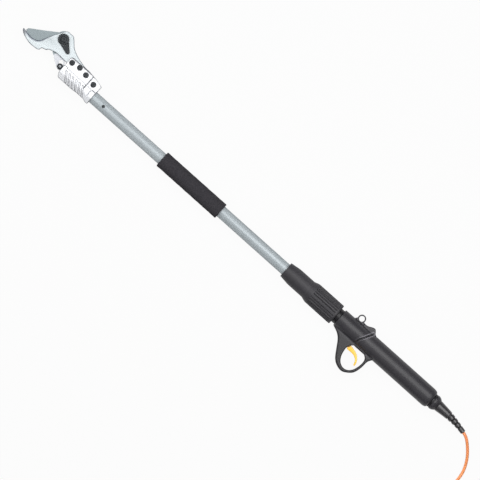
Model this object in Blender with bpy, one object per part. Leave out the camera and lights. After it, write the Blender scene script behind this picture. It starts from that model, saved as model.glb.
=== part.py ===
"""Cordless pole pruner: a hook-and-blade head on an aluminium pole, with a moulded handle and a lead.

Sizes are in millimetres in the tool's own frame, and the helpers turn them into metres. X runs
along the pole towards the head, with 0 at the rear face of the head's housing. Y points to the
trigger's side, and Z points up from the tool's mid-plane, on which the blade lies.
"""

import math

import bmesh
import bpy
from mathutils import Vector

MM = 0.001
GAP = 0.3
FAR = 60.0
ROUND = 28
SMALL_ROUND = 16
TINY_ROUND = 12

# Pole and its foam sleeve
TUBE_RADIUS = 14.0
TUBE_WALL = 1.5
TUBE_FRONT = 20.0
POLE_SHOWN = 569.4
SLEEVE_START = 204.4
SLEEVE_LENGTH = 173.1
SLEEVE_THICKNESS = 5.5
SLEEVE_ROUNDING = 3.0
TUBE_SCREW_X = -31.5
TUBE_SCREW_HEAD = (3.4, 1.8)
TUBE_SCREW_SHANK = 1.6

# Cutting head
PIVOT = (132.0, -51.7)
PIN = (98.6, -2.0)
OPENING_DEGREES = 45.0
BLADE_THICKNESS = 5.0
PLATE_THICKNESS = 6.0
GRIND = 6.0
HUB_RADIUS = 18.5
TAIL_HALF = 8.3
PIN_RADIUS = 3.5
PIVOT_SHANK = 7.0
PIVOT_HEAD = 11.0
PIVOT_HEAD_HEIGHT = 6.0
NUT_RADIUS = 12.9
NUT_HEIGHT = 5.4
NUT_NOTCHES = 18
NUT_NOTCH_DEPTH = 0.7
LOCK_SCREW_SPOT = (106.7, -36.3)
LOCK_PLATE_THICKNESS = 3.0
LOCK_PLATE_END = 4.6
BITE_TEETH = 5
LOCK_SCREW_HEAD = (2.9, 1.6)
LOCK_SCREW_SHANK = 1.6

# Head housing
HOUSING_LENGTH = 92.8
HOUSING_WALL = 3.5
HOUSING_TOP_Y = -36.3
PLATE_SEAT_Y = -17.8
HOUSING_SCREWS = ((83.6, -25.7), (63.6, -28.8), (42.9, -25.5))
CLAMP_SCREW = (16.7, -20.7)
SCREW_HEAD = 5.9
SCREW_HEAD_HEIGHT = 3.6
SCREW_SHANK = 2.5
SCREW_TIP = -12.0
SLIT_X = 27.7
SLIT_WIDTH = 1.6
SLIT_DEPTH = 3.0
RIB_COUNT = 6
RIB_PITCH = 9.6
RIB_WIDTH = 3.0
RIB_HEIGHT = 1.3
BOSS_LENGTH = 9.2

# Drive inside the housing and the pole
SPINDLE_RADIUS = 5.0
BEARING_RADIUS = 11.0
BEARING_WIDTH = 7.0
CROSSHEAD_HALF = 9.0
CROSSHEAD_NOSE = 6.6
FORK_DEPTH = 11.5
FORK_HALF = 8.0
PIN_HEAD = (5.0, 2.7)
PIN_RING_HEIGHT = 2.0
NUT_FLANGE = 3.0
NUT_LENGTH = 12.0
DRIVE_NUT_RADIUS = 7.0
SPINDLE_REAR = 30.0
GEARBOX_LENGTH = 63.0
MOTOR_LENGTH = 65.0
CABLE_RADIUS = 2.6

# Twist collar and the handle's neck
COLLAR_LENGTH = 149.6
COLLAR_WALL = 7.8
COLLAR_GRIP_WALL = 11.5
COLLAR_RIBS = 20
COLLAR_PANELS = 4
COLLAR_RIB_DEPTH = 0.9
NECK_LENGTH = 8.8
NECK_WALL = 4.3
SPIGOT_WALL = 3.0
CABLE_HOLE = 9.0

# Handle
HANDLE_LENGTH = 272.2
SPIGOT_ROOM = 5.3
GRIP_RADIUS = 22.8
BODY_LENGTH = 88.0
SHELL_WALL = 2.7
FRONT_WALL = 8.0
GUARD_HALF = 10.0
EYE_SPOT = (-38.7, -30.8)
EYE_RADIUS = 9.35
EYE_HOLE = 6.4
EYE_HALF = 3.6
TRIGGER_SPOT = (-52.8, 30.8)
TRIGGER_HALF = 6.0
TRIGGER_HUB = 5.5
TRIGGER_PIN_RADIUS = 1.8
TRIGGER_PIN_HALF = 8.2
SPRING_RADIUS = 5.4
SPRING_WIRE = 0.4
SPRING_TURNS = 2
SPRING_PITCH = 1.25
MAGNET_SPOT = (-46.6, 10.2)
MAGNET_RADIUS = 1.7
GRIP_CHANNEL_HALF = 12.0
RIDGE_DEPTH = 1.3
HANDLE_SOLVER = "MANIFOLD"
GUARD_SCREWS = ((-29.5, 30.0), (-80.2, 81.1))
GRIP_SCREW_SIDE = 17.3
GRIP_SCREWS = ((-106.0, GRIP_SCREW_SIDE), (-170.0, -GRIP_SCREW_SIDE))
END_SCREW = (40.2, GRIP_SCREW_SIDE)
HANDLE_SCREW_HEAD = (3.0, 2.2)
HANDLE_SCREW_SHANK = 1.5
HANDLE_SCREW_TIP = 6.0

# Cord
CORD_RADIUS = 3.25
GLAND_THREAD = 9.0
GLAND_FLANGE = 17.4
GLAND_HOLE = 14.0
GLAND_NUT_FACES = 12
BOOT_BEND_START = 35.0
BOOT_BEND = 0.00175
BOOT_LENGTH = 99.1
BOOT_GROOVE = 0.76
BOOT_RIBS = ((54.8, 62.4, 8.9), (65.4, 72.8, 7.9), (75.8, 83.4, 7.0), (86.6, BOOT_LENGTH, 6.2))
COIL_RADIUS = 48.0
COIL_PITCH = 7.3
COIL_TURNS = 5.5
COIL_LAYER = 7.1
COIL_STEPS = 24
PLUG_RADIUS = 9.0
PLUG_LENGTH = 42.0
PLUG_RECESS = 10.0
PLUG_PIN_RADIUS = 1.2
PLUG_PIN_SIDE = 3.2

# Sizes that follow from the ones above
BLADE_HALF = BLADE_THICKNESS / 2
PLATE_LOW = BLADE_HALF + GAP
PLATE_HIGH = PLATE_LOW + PLATE_THICKNESS
TUBE_BORE = TUBE_RADIUS - TUBE_WALL
HOUSING_HALF = TUBE_RADIUS + HOUSING_WALL
SCREW_FACE = PLATE_HIGH + 6.2
HEAD_SEAT = SCREW_FACE - SCREW_HEAD_HEIGHT
PLATE_REAR = SLIT_X + 1.0
COLLAR_FRONT = -POLE_SHOWN
COLLAR_REAR = COLLAR_FRONT - COLLAR_LENGTH
COLLAR_RADIUS = TUBE_RADIUS + COLLAR_GRIP_WALL
HANDLE_FRONT = COLLAR_REAR - NECK_LENGTH
HANDLE_END = HANDLE_FRONT - HANDLE_LENGTH
TUBE_REAR = COLLAR_REAR + 15.0
BODY_CAVITY = TUBE_RADIUS + SPIGOT_ROOM
BODY_RADIUS = BODY_CAVITY + SHELL_WALL
FLOOR = -max(COLLAR_RADIUS, GRIP_RADIUS)
CORD_LEVEL = FLOOR + CORD_RADIUS
PIN_DROP = PIN[1] - PIVOT[1]
CLOSED_ANGLE = math.atan2(PIVOT[0] - PIN[0], PIN_DROP)
OPENING_ANGLE = math.radians(OPENING_DEGREES)

AXES = {
    "X": (Vector((1, 0, 0)), Vector((0, 1, 0)), Vector((0, 0, 1))),
    "Y": (Vector((0, 1, 0)), Vector((0, 0, 1)), Vector((1, 0, 0))),
    "Z": (Vector((0, 0, 1)), Vector((1, 0, 0)), Vector((0, 1, 0))),
}


# Scene, materials and objects


def clear_scene():
    for obj in list(bpy.data.objects):
        bpy.data.objects.remove(obj, do_unlink=True)


def make_material(name, colour, roughness, metallic=0.0):
    made = bpy.data.materials.new(name)
    made.use_nodes = True
    shader = made.node_tree.nodes["Principled BSDF"]
    shader.inputs["Base Color"].default_value = (*colour, 1.0)
    shader.inputs["Roughness"].default_value = roughness
    shader.inputs["Metallic"].default_value = metallic
    made.diffuse_color = (*colour, 1.0)
    return made


def make_materials():
    return {
        "cast": make_material("cast_aluminium", (0.82, 0.83, 0.84), 0.38, 0.6),
        "plate": make_material("nickel_plated_steel", (0.66, 0.71, 0.73), 0.25, 0.9),
        "blade": make_material("hardened_steel", (0.32, 0.36, 0.38), 0.3, 0.9),
        "steel": make_material("bright_steel", (0.62, 0.62, 0.62), 0.3, 1.0),
        "black_steel": make_material("black_oxide_steel", (0.03, 0.035, 0.04), 0.45, 0.7),
        "tube": make_material("anodised_aluminium", (0.36, 0.4, 0.41), 0.35, 0.9),
        "foam": make_material("black_foam", (0.045, 0.043, 0.05), 0.95),
        "plastic": make_material("black_plastic", (0.045, 0.045, 0.05), 0.5),
        "amber": make_material("amber_plastic", (0.95, 0.5, 0.03), 0.4),
        "cord": make_material("coral_cord", (0.85, 0.27, 0.12), 0.45),
        "brass": make_material("brass", (0.7, 0.52, 0.2), 0.35, 1.0),
        "board": make_material("circuit_board", (0.02, 0.2, 0.08), 0.5),
        "rubber": make_material("black_rubber", (0.04, 0.04, 0.042), 0.7),
    }


def new_shape():
    return bmesh.new()


def add_object(root, name, shape, material, origin=(0, 0, 0)):
    """Turns a shape in millimetres into an object with its origin at the given spot."""
    bmesh.ops.recalc_face_normals(shape, faces=shape.faces)
    bmesh.ops.translate(shape, verts=shape.verts, vec=-Vector(origin))
    bmesh.ops.scale(shape, verts=shape.verts, vec=(MM, MM, MM))
    mesh = bpy.data.meshes.new(name)
    shape.to_mesh(mesh)
    shape.free()
    if material:
        mesh.materials.append(material)
    mesh.shade_smooth()
    mesh.set_sharp_from_angle(angle=math.radians(35))
    obj = bpy.data.objects.new(name, mesh)
    bpy.context.collection.objects.link(obj)
    obj.location = Vector(origin) * MM
    obj.parent = root
    return obj


def add_helper(root, name, shape):
    """A cutter or a piece of another object's shape, which isn't part of the model by itself."""
    helper = add_object(root, name, shape, None)
    helper.hide_render = True
    helper.display_type = "WIRE"
    return helper


def combine(obj, helper, operation="DIFFERENCE", solver="EXACT"):
    boolean = obj.modifiers.new(helper.name, "BOOLEAN")
    boolean.operation = operation
    boolean.solver = solver
    boolean.object = helper


# Shapes


def add_rings(shape, rings, closed=False):
    """Skins rings of points in order. A ring of one point is a tip, and open ends are capped."""
    made = [[shape.verts.new(point) for point in ring] for ring in rings]
    pairs = list(zip(made, made[1:]))
    if closed:
        pairs.append((made[-1], made[0]))
    for first, second in pairs:
        count = max(len(first), len(second))
        for i in range(count):
            j = (i + 1) % count
            corners = [first[i % len(first)], first[j % len(first)]]
            corners += [second[j % len(second)], second[i % len(second)]]
            corners = list(dict.fromkeys(corners))
            shape.faces.new(corners)
    if not closed:
        for ring in (made[0], made[-1]):
            if len(ring) > 2:
                shape.faces.new(ring)


def add_turned(shape, profile, axis="X", base=(0, 0, 0), segments=ROUND, bored=False):
    """Turns (distance, radius) points about an axis. A radius may be a function of the angle."""
    along, across, up = AXES[axis]
    rings = []
    for distance, radius in profile:
        centre = Vector(base) + along * distance
        if radius == 0:
            rings.append([centre])
            continue
        ring = []
        for i in range(segments):
            angle = 2 * math.pi * i / segments
            reach = radius(angle) if callable(radius) else radius
            ring.append(centre + across * reach * math.cos(angle) + up * reach * math.sin(angle))
        rings.append(ring)
    add_rings(shape, rings, bored)


def add_stack(shape, levels, axis="Z"):
    """Skins outlines that lie at different levels along an axis."""
    along, across, up = AXES[axis]
    rings = [[across * a + up * b + along * level for a, b in outline] for level, outline in levels]
    add_rings(shape, rings)


def add_prism(shape, outline, low, high, axis="Z"):
    add_stack(shape, [(low, outline), (high, outline)], axis)


def add_box(shape, low, high):
    outline = [(low[0], low[1]), (high[0], low[1]), (high[0], high[1]), (low[0], high[1])]
    add_prism(shape, outline, low[2], high[2])


def arc(centre, radius, start, end, steps):
    """Points of an arc from one angle to another, in degrees."""
    angles = [math.radians(start + (end - start) * i / steps) for i in range(steps + 1)]
    return [(centre[0] + radius * math.cos(a), centre[1] + radius * math.sin(a)) for a in angles]


def curve_through(points, steps=2):
    """A smooth open curve through the points, of two or three coordinates."""
    path = [Vector(point) for point in points]
    path = [path[0] * 2 - path[1], *path, path[-1] * 2 - path[-2]]
    made = []
    for before, start, end, after in zip(path, path[1:], path[2:], path[3:]):
        for i in range(steps):
            t = i / steps
            made.append(
                0.5
                * (
                    2 * start
                    + (end - before) * t
                    + (2 * before - 5 * start + 4 * end - after) * t**2
                    + (3 * start - before - 3 * end + after) * t**3
                )
            )
    made.append(path[-2])
    return [tuple(point) for point in made]


def inset(outline, distance):
    """Moves each point of a closed outline inwards, or outwards for a negative distance."""
    area = sum(a[0] * b[1] - b[0] * a[1] for a, b in zip(outline, outline[1:] + outline[:1]))
    turn = 1 if area > 0 else -1
    moved = []
    for i, point in enumerate(outline):
        before = Vector(outline[i - 1])
        after = Vector(outline[(i + 1) % len(outline)])
        along = (after - before).normalized()
        moved.append((point[0] - along.y * distance * turn, point[1] + along.x * distance * turn))
    return moved


def from_handle(points):
    return [(HANDLE_FRONT + x, y) for x, y in points]


def flatted(half_flats, sides=6):
    """Radius of a polygon at an angle, from its half width across flats."""
    step = 2 * math.pi / sides
    return lambda angle: half_flats / math.cos(angle % step - step / 2)


def toothed(outer, depth, teeth, groups=0):
    """Radius of a rim with notches, for a ring of two points to each tooth, in groups if asked."""

    def radius(angle):
        place = round(angle * teeth / math.pi)
        notched = place % 2
        if groups and place % (2 * teeth // groups) in (0, 1, 2 * teeth // groups - 1):
            notched = False
        return outer - depth if notched else outer

    return radius


def add_screw(root, name, material, spot, seat, head, shank, end, segments=TINY_ROUND):
    """A cap screw along Z: its head sits at seat, and its shank ends at end."""
    head_radius, head_height = head
    away = 1 if seat > end else -1
    top = seat + away * head_height
    profile = [(end, 0), (end, shank), (seat, shank), (seat, head_radius)]
    profile += [(top, head_radius), (top, 0)]
    shape = new_shape()
    add_turned(shape, profile, "Z", (*spot, 0), segments)
    return add_object(root, name, shape, material)


# Blade mechanism


def pin_travel(angle):
    """How far the crosshead's pin moves as the blade opens by an angle."""
    return PIN_DROP * (math.tan(CLOSED_ANGLE) - math.tan(CLOSED_ANGLE - angle))


FULL_TRAVEL = pin_travel(OPENING_ANGLE)
TRAVEL_PER_RADIAN = FULL_TRAVEL / OPENING_ANGLE


def pin_lag():
    """The most by which an even travel trails the true one, which the blade's slot makes room for."""
    angles = [OPENING_ANGLE * i / 40 for i in range(41)]
    return max(pin_travel(angle) - TRAVEL_PER_RADIAN * angle for angle in angles)


def plate_outline():
    outer = curve_through([(214.9, -11.0), (211.6, -5.9), (200.6, 0.0), (182.8, 4.6), (162.6, 3.7)])
    scallop = curve_through(
        [(157.5, 1.2), (155.6, -5.0), (150.7, -7.0), (145.6, -8.8), (140.6, -13.6), (125.4, -18.7)]
    )
    tail = [(112.0, PLATE_SEAT_Y - 0.6), (95.0, PLATE_SEAT_Y), (PLATE_REAR, PLATE_SEAT_Y)]
    tail += [(PLATE_REAR, -34.9)]
    back = curve_through(
        [(44.0, -37.2), (57.6, -37.8), (81.4, -43.6), (99.9, -52.4), (112.6, -65.1)]
    )
    crest = arc(PIVOT, 19.9, -118, -38, 7)
    throat = curve_through(
        [(150.0, -56.6), (157.0, -43.6), (160.8, -35.6), (164.3, -25.3), (167.6, -18.7), (172.7, -12.8)]
    )
    hook = curve_through([(178.6, -9.9), (189.6, -7.7), (200.6, -9.4), (213.4, -12.2)])
    return outer + scallop + tail + back + crest + throat + hook


def make_hook_plate(root, materials, holes):
    outline = plate_outline()
    shape = new_shape()
    add_stack(
        shape,
        [
            (PLATE_LOW, outline),
            (PLATE_HIGH - 0.8, outline),
            (PLATE_HIGH, inset(outline, 0.8)),
        ],
    )
    plate = add_object(root, "hook_plate", shape, materials["plate"])
    combine(plate, holes["pivot"])
    combine(plate, holes["screws"])
    combine(plate, holes["lock_screw"])


def blade_outlines():
    """The blade's outline on its flat upper face, and on its lower face with the edge ground away."""
    edge = curve_through(
        [(154.0, -25.0), (158.5, -16.5), (167.0, -7.8), (180.0, -3.2), (191.0, -3.0), (201.0, -6.6)]
    )
    count = len(edge) - 1
    ground = []
    for i, (x, y) in enumerate(edge):
        share = math.sin(math.pi * (i + 1) / (count + 2))
        ground.append((x + GRIND * 0.25 * share, y - GRIND * share))
    back = [(208.3, -13.2), (206.5, -18.6)]
    back += curve_through([(200.6, -22.9), (178.6, -37.2), (161.0, -49.5)])
    rear = math.degrees(CLOSED_ANGLE) + 90
    lean = math.degrees(math.asin(TAIL_HALF / HUB_RADIUS))
    hub = arc(PIVOT, HUB_RADIUS, -18, rear + lean - 360, 14)
    tail = arc(PIN, TAIL_HALF, rear + 90, 56, 9)
    front = [(133.8, -16.1), (147.5, -25.3)]
    rest = back + hub + tail + front
    return edge + rest, ground + rest


def tail_slot():
    """The slot in the tail: the pin runs along it as the blade swings."""
    lag = pin_lag()
    closed_reach = math.hypot(PIVOT[0] - PIN[0], PIN_DROP)
    half = PIN_RADIUS + GAP + lag / 2
    along = Vector((PIN[0] - PIVOT[0], PIN_DROP)).normalized()
    rearward = Vector((-along.y, along.x))
    base = Vector(PIVOT) + rearward * lag / 2
    heading = math.degrees(math.atan2(along.y, along.x))
    far = base + along * closed_reach
    near = base + along * PIN_DROP
    outer_end = arc(far, half, heading - 90, heading + 90, 8)
    return outer_end + arc(near, half, heading + 90, heading + 270, 8)


def make_blade(root, materials, holes):
    upper, lower = blade_outlines()
    shape = new_shape()
    edge_land = BLADE_HALF - 0.4
    add_stack(shape, [(-BLADE_HALF, lower), (edge_land, upper), (BLADE_HALF, upper)])
    blade = add_object(root, "cutting_blade", shape, materials["blade"], (*PIVOT, 0))
    combine(blade, holes["pivot"])
    cutter = new_shape()
    add_prism(cutter, tail_slot(), -FAR, FAR)
    combine(blade, add_helper(root, "cut_tail_slot", cutter))


def make_pivot(root, materials):
    head_low = -BLADE_HALF - GAP - PIVOT_HEAD_HEIGHT
    nut_low = PLATE_HIGH + GAP
    nut_high = nut_low + NUT_HEIGHT
    bolt = new_shape()
    add_turned(
        bolt,
        [
            (head_low, 0),
            (head_low, PIVOT_HEAD - 1.2),
            (head_low + 1.2, PIVOT_HEAD),
            (-BLADE_HALF - GAP, PIVOT_HEAD),
            (-BLADE_HALF - GAP, PIVOT_SHANK),
            (nut_high - 0.9, PIVOT_SHANK),
            (nut_high - 0.1, PIVOT_SHANK - 0.8),
            (nut_high - 0.1, flatted(2.6)),
            (nut_high - 3.5, flatted(2.6)),
            (nut_high - 3.5, 0),
        ],
        "Z",
        (*PIVOT, 0),
        18,
    )
    add_object(root, "pivot_bolt", bolt, materials["black_steel"], (*PIVOT, 0))
    rim = toothed(NUT_RADIUS, NUT_NOTCH_DEPTH, NUT_NOTCHES)
    nut = new_shape()
    add_turned(
        nut,
        [
            (nut_low, PIVOT_SHANK + GAP),
            (nut_low, rim),
            (nut_high - 1.0, rim),
            (nut_high, NUT_RADIUS - 1.8),
            (nut_high, PIVOT_SHANK + GAP),
        ],
        "Z",
        (*PIVOT, 0),
        2 * NUT_NOTCHES,
        bored=True,
    )
    add_object(root, "pivot_nut", nut, materials["black_steel"], (*PIVOT, 0))


def make_lock_plate(root, materials, holes):
    """A teardrop from the nut's toothed rim to a round end with its screw."""
    low = PLATE_HIGH + GAP
    high = low + LOCK_PLATE_THICKNESS
    reach = Vector(LOCK_SCREW_SPOT) - Vector(PIVOT)
    heading = math.degrees(math.atan2(reach.y, reach.x))
    rim = toothed(NUT_RADIUS + GAP, NUT_NOTCH_DEPTH, NUT_NOTCHES)
    step = 360 / (2 * NUT_NOTCHES)
    middle = round(heading % 360 / step)
    bite = []
    for i in range(middle - BITE_TEETH, middle + BITE_TEETH + 1):
        angle = math.radians(i * step)
        radius = rim(angle)
        bite.append((PIVOT[0] + radius * math.cos(angle), PIVOT[1] + radius * math.sin(angle)))
    round_end = (heading + 72, heading - 72, 8)
    outline = bite + arc(LOCK_SCREW_SPOT, LOCK_PLATE_END, *round_end)
    crown = bite + arc(LOCK_SCREW_SPOT, LOCK_PLATE_END - 0.5, *round_end)
    shape = new_shape()
    add_stack(shape, [(low, outline), (high - 0.6, outline), (high, crown)])
    plate = add_object(root, "lock_plate", shape, materials["black_steel"])
    combine(plate, holes["lock_screw"])
    size = (LOCK_SCREW_HEAD, LOCK_SCREW_SHANK, PLATE_LOW + 0.5)
    add_screw(root, "lock_screw", materials["black_steel"], LOCK_SCREW_SPOT, high + GAP, *size)


# Head housing


def housing_outline():
    low = TUBE_RADIUS + 4.9
    front = HOUSING_LENGTH
    upper = [(0.0, -28.8), (7.0, -30.6), (15.4, -32.8), (SLIT_X, -35.2), (40.0, HOUSING_TOP_Y)]
    upper += [(front - 6.6, HOUSING_TOP_Y), (front - 2.2, -34.4), (front, -30.6)]
    lower = [(front, 5.9), (front - 1.2, 10.4), (front - 3.4, 14.6), (front - 7.2, low)]
    lower += [(45.0, low), (34.0, low - 1.6), (13.0, low - 1.6), (8.0, low + 1.2)]
    lower += [(1.2, low + 1.2), (0.0, low)]
    return upper + lower


def housing_section(raised=0.0):
    """Half of the housing's cross-section as (y, z): a flat for the screws beside a crown."""
    top = HOUSING_HALF + raised
    flat = SCREW_FACE
    slope_end = TUBE_RADIUS + 7.0 + raised
    section = [(-FAR, 0.0), (-FAR, flat - 8.0), (HOUSING_TOP_Y - 0.5, flat - 5.0)]
    section += [(-34.0, flat - 1.2), (-32.0, flat), (-11.5, flat), (-9.0, top - 0.6), (-7.6, top)]
    section += [(5.0, top), (7.5, top - 0.9), (slope_end, 6.6), (slope_end, 0.0)]
    return section


def add_rib_bars(shape, side):
    """Slanting bars across the crown and down its sloping side."""
    slant = -11.0
    for i in range(RIB_COUNT):
        x = HOUSING_LENGTH - 14.0 - i * RIB_PITCH
        outline = [(x, -5.0), (x + RIB_WIDTH, -5.0), (x + RIB_WIDTH + slant, 17.0), (x + slant, 17.0)]
        add_prism(shape, outline, *sorted((side * 4.0, side * FAR)))


def housing_helpers(root):
    bores = new_shape()
    seat = TUBE_RADIUS + GAP
    bearing = BEARING_RADIUS + GAP
    bearing_front = TUBE_FRONT + 2.0 + BEARING_WIDTH + GAP
    profile = [(-5, 0), (-5, seat), (TUBE_FRONT + GAP, seat), (TUBE_FRONT + GAP, bearing)]
    profile += [(bearing_front, bearing), (bearing_front, 0)]
    add_turned(bores, profile)
    channel = new_shape()
    half = CROSSHEAD_HALF + GAP
    add_box(channel, (bearing_front - 0.5, -half, -half), (HOUSING_LENGTH + 5, half, half))
    mouth = new_shape()
    add_box(mouth, (HOUSING_LENGTH - 6.0, -10.5, -12.5), (HOUSING_LENGTH + 5, 7.0, 12.5))
    grooves = new_shape()
    half = SLIT_WIDTH / 2
    add_box(grooves, (SLIT_X - half, -FAR, SCREW_FACE - SLIT_DEPTH), (SLIT_X + half, 0.5, FAR))
    add_box(grooves, (11.2, -9.4, HOUSING_HALF - 1.4), (12.6, 9.0, FAR))
    add_box(grooves, (-5, -10.8, SCREW_FACE - 1.4), (11.0, -9.6, FAR))
    return {
        "bores": add_helper(root, "cut_housing_bores", bores),
        "channel": add_helper(root, "cut_housing_channel", channel),
        "mouth": add_helper(root, "cut_housing_mouth", mouth),
        "grooves": add_helper(root, "cut_housing_grooves", grooves),
    }


def make_housing_half(root, materials, name, side, holes, helpers):
    """One cast half. Side is 1 for the upper one, which carries the plate, and -1 for the lower."""
    shape = new_shape()
    split = GAP / 2
    add_prism(shape, housing_outline(), *sorted((side * split, side * (HOUSING_HALF + 5))))
    half = add_object(root, name, shape, materials["cast"])
    section = new_shape()
    outline = [(y, side * z) for y, z in housing_section()]
    add_prism(section, outline, -5, HOUSING_LENGTH + 5, "X")
    combine(half, add_helper(root, f"section_{name}", section), "INTERSECT")
    bars = new_shape()
    add_rib_bars(bars, side)
    ribs = add_helper(root, f"ribs_{name}", bars)
    raised = new_shape()
    outline = [(y, side * z) for y, z in housing_section(RIB_HEIGHT)]
    add_prism(raised, outline, -5, HOUSING_LENGTH + 5, "X")
    combine(ribs, add_helper(root, f"raised_{name}", raised), "INTERSECT")
    combine(half, ribs, "UNION")
    if side > 0:
        boss = new_shape()
        front = HOUSING_LENGTH - 0.4
        add_box(boss, (front - BOSS_LENGTH, -11.2, 10.0), (front, 2.2, HOUSING_HALF + 0.9))
        combine(half, add_helper(root, "front_boss", boss), "UNION")
        pocket = new_shape()
        corner = (FAR * 2, PLATE_SEAT_Y + GAP, PLATE_HIGH + GAP)
        add_box(pocket, (PLATE_REAR - GAP, -FAR, -FAR), corner)
        combine(half, add_helper(root, "cut_plate_pocket", pocket))
    else:
        pad = new_shape()
        corner = (HOUSING_LENGTH - 1, PLATE_SEAT_Y, BLADE_HALF)
        add_box(pad, (PLATE_REAR, HOUSING_TOP_Y + 0.8, -5.0), corner)
        combine(half, add_helper(root, "plate_pad", pad), "UNION")
    for key in ("bores", "channel", "mouth"):
        combine(half, helpers[key])
    if side > 0:
        combine(half, helpers["grooves"])
    combine(half, holes["screws"])


def through_hole(spot, radius, low, segments):
    """A round cutter along Z from a level up past everything."""
    shape = new_shape()
    profile = [(low, 0), (low, radius), (FAR, radius), (FAR, 0)]
    add_turned(shape, profile, "Z", (*spot, 0), segments)
    return shape


def make_hole_helpers(root):
    shank = SCREW_SHANK + GAP
    bottom = SCREW_TIP - 0.5
    screws = new_shape()
    for spot in (*HOUSING_SCREWS, CLAMP_SCREW):
        profile = [(bottom, 0), (bottom, shank), (HEAD_SEAT - GAP, shank)]
        profile += [(HEAD_SEAT - GAP, SCREW_HEAD + GAP), (FAR, SCREW_HEAD + GAP), (FAR, 0)]
        add_turned(screws, profile, "Z", (*spot, 0), SMALL_ROUND)
    pivot = through_hole(PIVOT, PIVOT_SHANK + GAP, -FAR, 24)
    lock = through_hole(LOCK_SCREW_SPOT, LOCK_SCREW_SHANK + GAP, 0, TINY_ROUND)
    return {
        "screws": add_helper(root, "cut_screw_holes", screws),
        "pivot": add_helper(root, "cut_pivot_bore", pivot),
        "lock_screw": add_helper(root, "cut_lock_screw_hole", lock),
    }


def make_head_screws(root, materials):
    black = materials["black_steel"]
    size = (HEAD_SEAT, (SCREW_HEAD, SCREW_HEAD_HEIGHT), SCREW_SHANK, SCREW_TIP)
    for number, spot in enumerate(HOUSING_SCREWS, 1):
        add_screw(root, f"housing_screw_{number}", black, spot, *size)
    add_screw(root, "clamp_screw", black, CLAMP_SCREW, *size)


# Drive


def make_crosshead(root, materials):
    """A square slide with a bore for the nut and the spindle, and a fork round the blade's tail."""
    rear = SPINDLE_REAR + 1.0 + NUT_FLANGE + GAP
    root_x = PIN[0] - FORK_DEPTH
    half = CROSSHEAD_HALF
    cut = 1.6
    square = [(-half + cut, -half), (half - cut, -half), (half, -half + cut), (half, half - cut)]
    square += [(half - cut, half), (-half + cut, half), (-half, half - cut), (-half, -half + cut)]
    shape = new_shape()
    add_prism(shape, square, rear, root_x + 4.0, "X")
    crosshead = add_object(root, "crosshead", shape, materials["steel"], (PIN[0], 0, 0))
    nose = [(root_x + 1.0, PIN[1] + CROSSHEAD_NOSE), (root_x + 1.0, PIN[1] - CROSSHEAD_NOSE)]
    nose += arc(PIN, CROSSHEAD_NOSE, -90, 90, 10)
    fork = new_shape()
    add_prism(fork, nose, -FORK_HALF, FORK_HALF)
    combine(crosshead, add_helper(root, "crosshead_fork", fork), "UNION")
    slot = new_shape()
    slot_half = BLADE_HALF + GAP
    add_box(slot, (root_x, -FAR, -slot_half), (PIN[0] + 20, FAR, slot_half))
    combine(crosshead, add_helper(root, "cut_fork_slot", slot))
    bore = new_shape()
    nut_end = rear + NUT_LENGTH - NUT_FLANGE
    wide = DRIVE_NUT_RADIUS + GAP
    narrow = SPINDLE_RADIUS + GAP
    profile = [(rear - 5, 0), (rear - 5, wide), (nut_end, wide)]
    profile += [(nut_end, narrow), (root_x - 2.5, narrow), (root_x - 2.5, 0)]
    add_turned(bore, profile, segments=SMALL_ROUND)
    combine(crosshead, add_helper(root, "cut_crosshead_bore", bore))
    pin_bore = through_hole(PIN, PIN_RADIUS + GAP, -FAR, SMALL_ROUND)
    combine(crosshead, add_helper(root, "cut_pin_bore", pin_bore))


def make_pin(root, materials):
    """The pin, headed below the fork, and the snap ring that holds it above."""
    low = FORK_HALF + GAP
    high = low + PIN_RING_HEIGHT
    head, height = PIN_HEAD
    top = high + 0.6
    pin = new_shape()
    profile = [(-low - height, 0), (-low - height, head), (-low, head), (-low, PIN_RADIUS)]
    profile += [(top - 0.5, PIN_RADIUS), (top, PIN_RADIUS - 0.5), (top, 0)]
    add_turned(pin, profile, "Z", (*PIN, 0), SMALL_ROUND)
    add_object(root, "crosshead_pin", pin, materials["steel"], (*PIN, 0))
    ring = new_shape()
    inner = PIN_RADIUS + GAP
    outer = CROSSHEAD_NOSE
    profile = [(low, inner), (low, outer), (high - 0.6, outer), (high, outer - 0.6), (high, inner)]
    add_turned(ring, profile, "Z", (*PIN, 0), 20, bored=True)
    add_object(root, "pin_ring", ring, materials["black_steel"], (*PIN, 0))


def make_drive(root, materials):
    nut = new_shape()
    start = SPINDLE_REAR + 1.0
    bore = SPINDLE_RADIUS + GAP
    step = start + NUT_FLANGE
    end = start + NUT_LENGTH
    flange = CROSSHEAD_HALF - 0.3
    profile = [(start, bore), (start, flange), (step, flange)]
    profile += [(step, DRIVE_NUT_RADIUS), (end, DRIVE_NUT_RADIUS), (end, bore)]
    add_turned(nut, profile, segments=SMALL_ROUND, bored=True)
    add_object(root, "drive_nut", nut, materials["brass"], (start, 0, 0))
    front = PIN[0] - FORK_DEPTH - 3.5
    spindle = new_shape()
    neck = SPINDLE_RADIUS - 1.0
    rear = TUBE_FRONT - 11.0
    shoulder = TUBE_FRONT + 1.0
    profile = [(rear, 0), (rear, neck), (shoulder, neck), (shoulder, SPINDLE_RADIUS)]
    profile += [(front - 1, SPINDLE_RADIUS), (front, neck), (front, 0)]
    add_turned(spindle, profile, segments=SMALL_ROUND)
    add_object(root, "drive_screw", spindle, materials["steel"], (SPINDLE_REAR, 0, 0))
    bearing = new_shape()
    low = TUBE_FRONT + 2.0
    high = low + BEARING_WIDTH
    profile = [(low, bore), (low, BEARING_RADIUS), (high, BEARING_RADIUS), (high, bore)]
    add_turned(bearing, profile, segments=20, bored=True)
    add_object(root, "screw_bearing", bearing, materials["steel"], (low, 0, 0))


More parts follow.
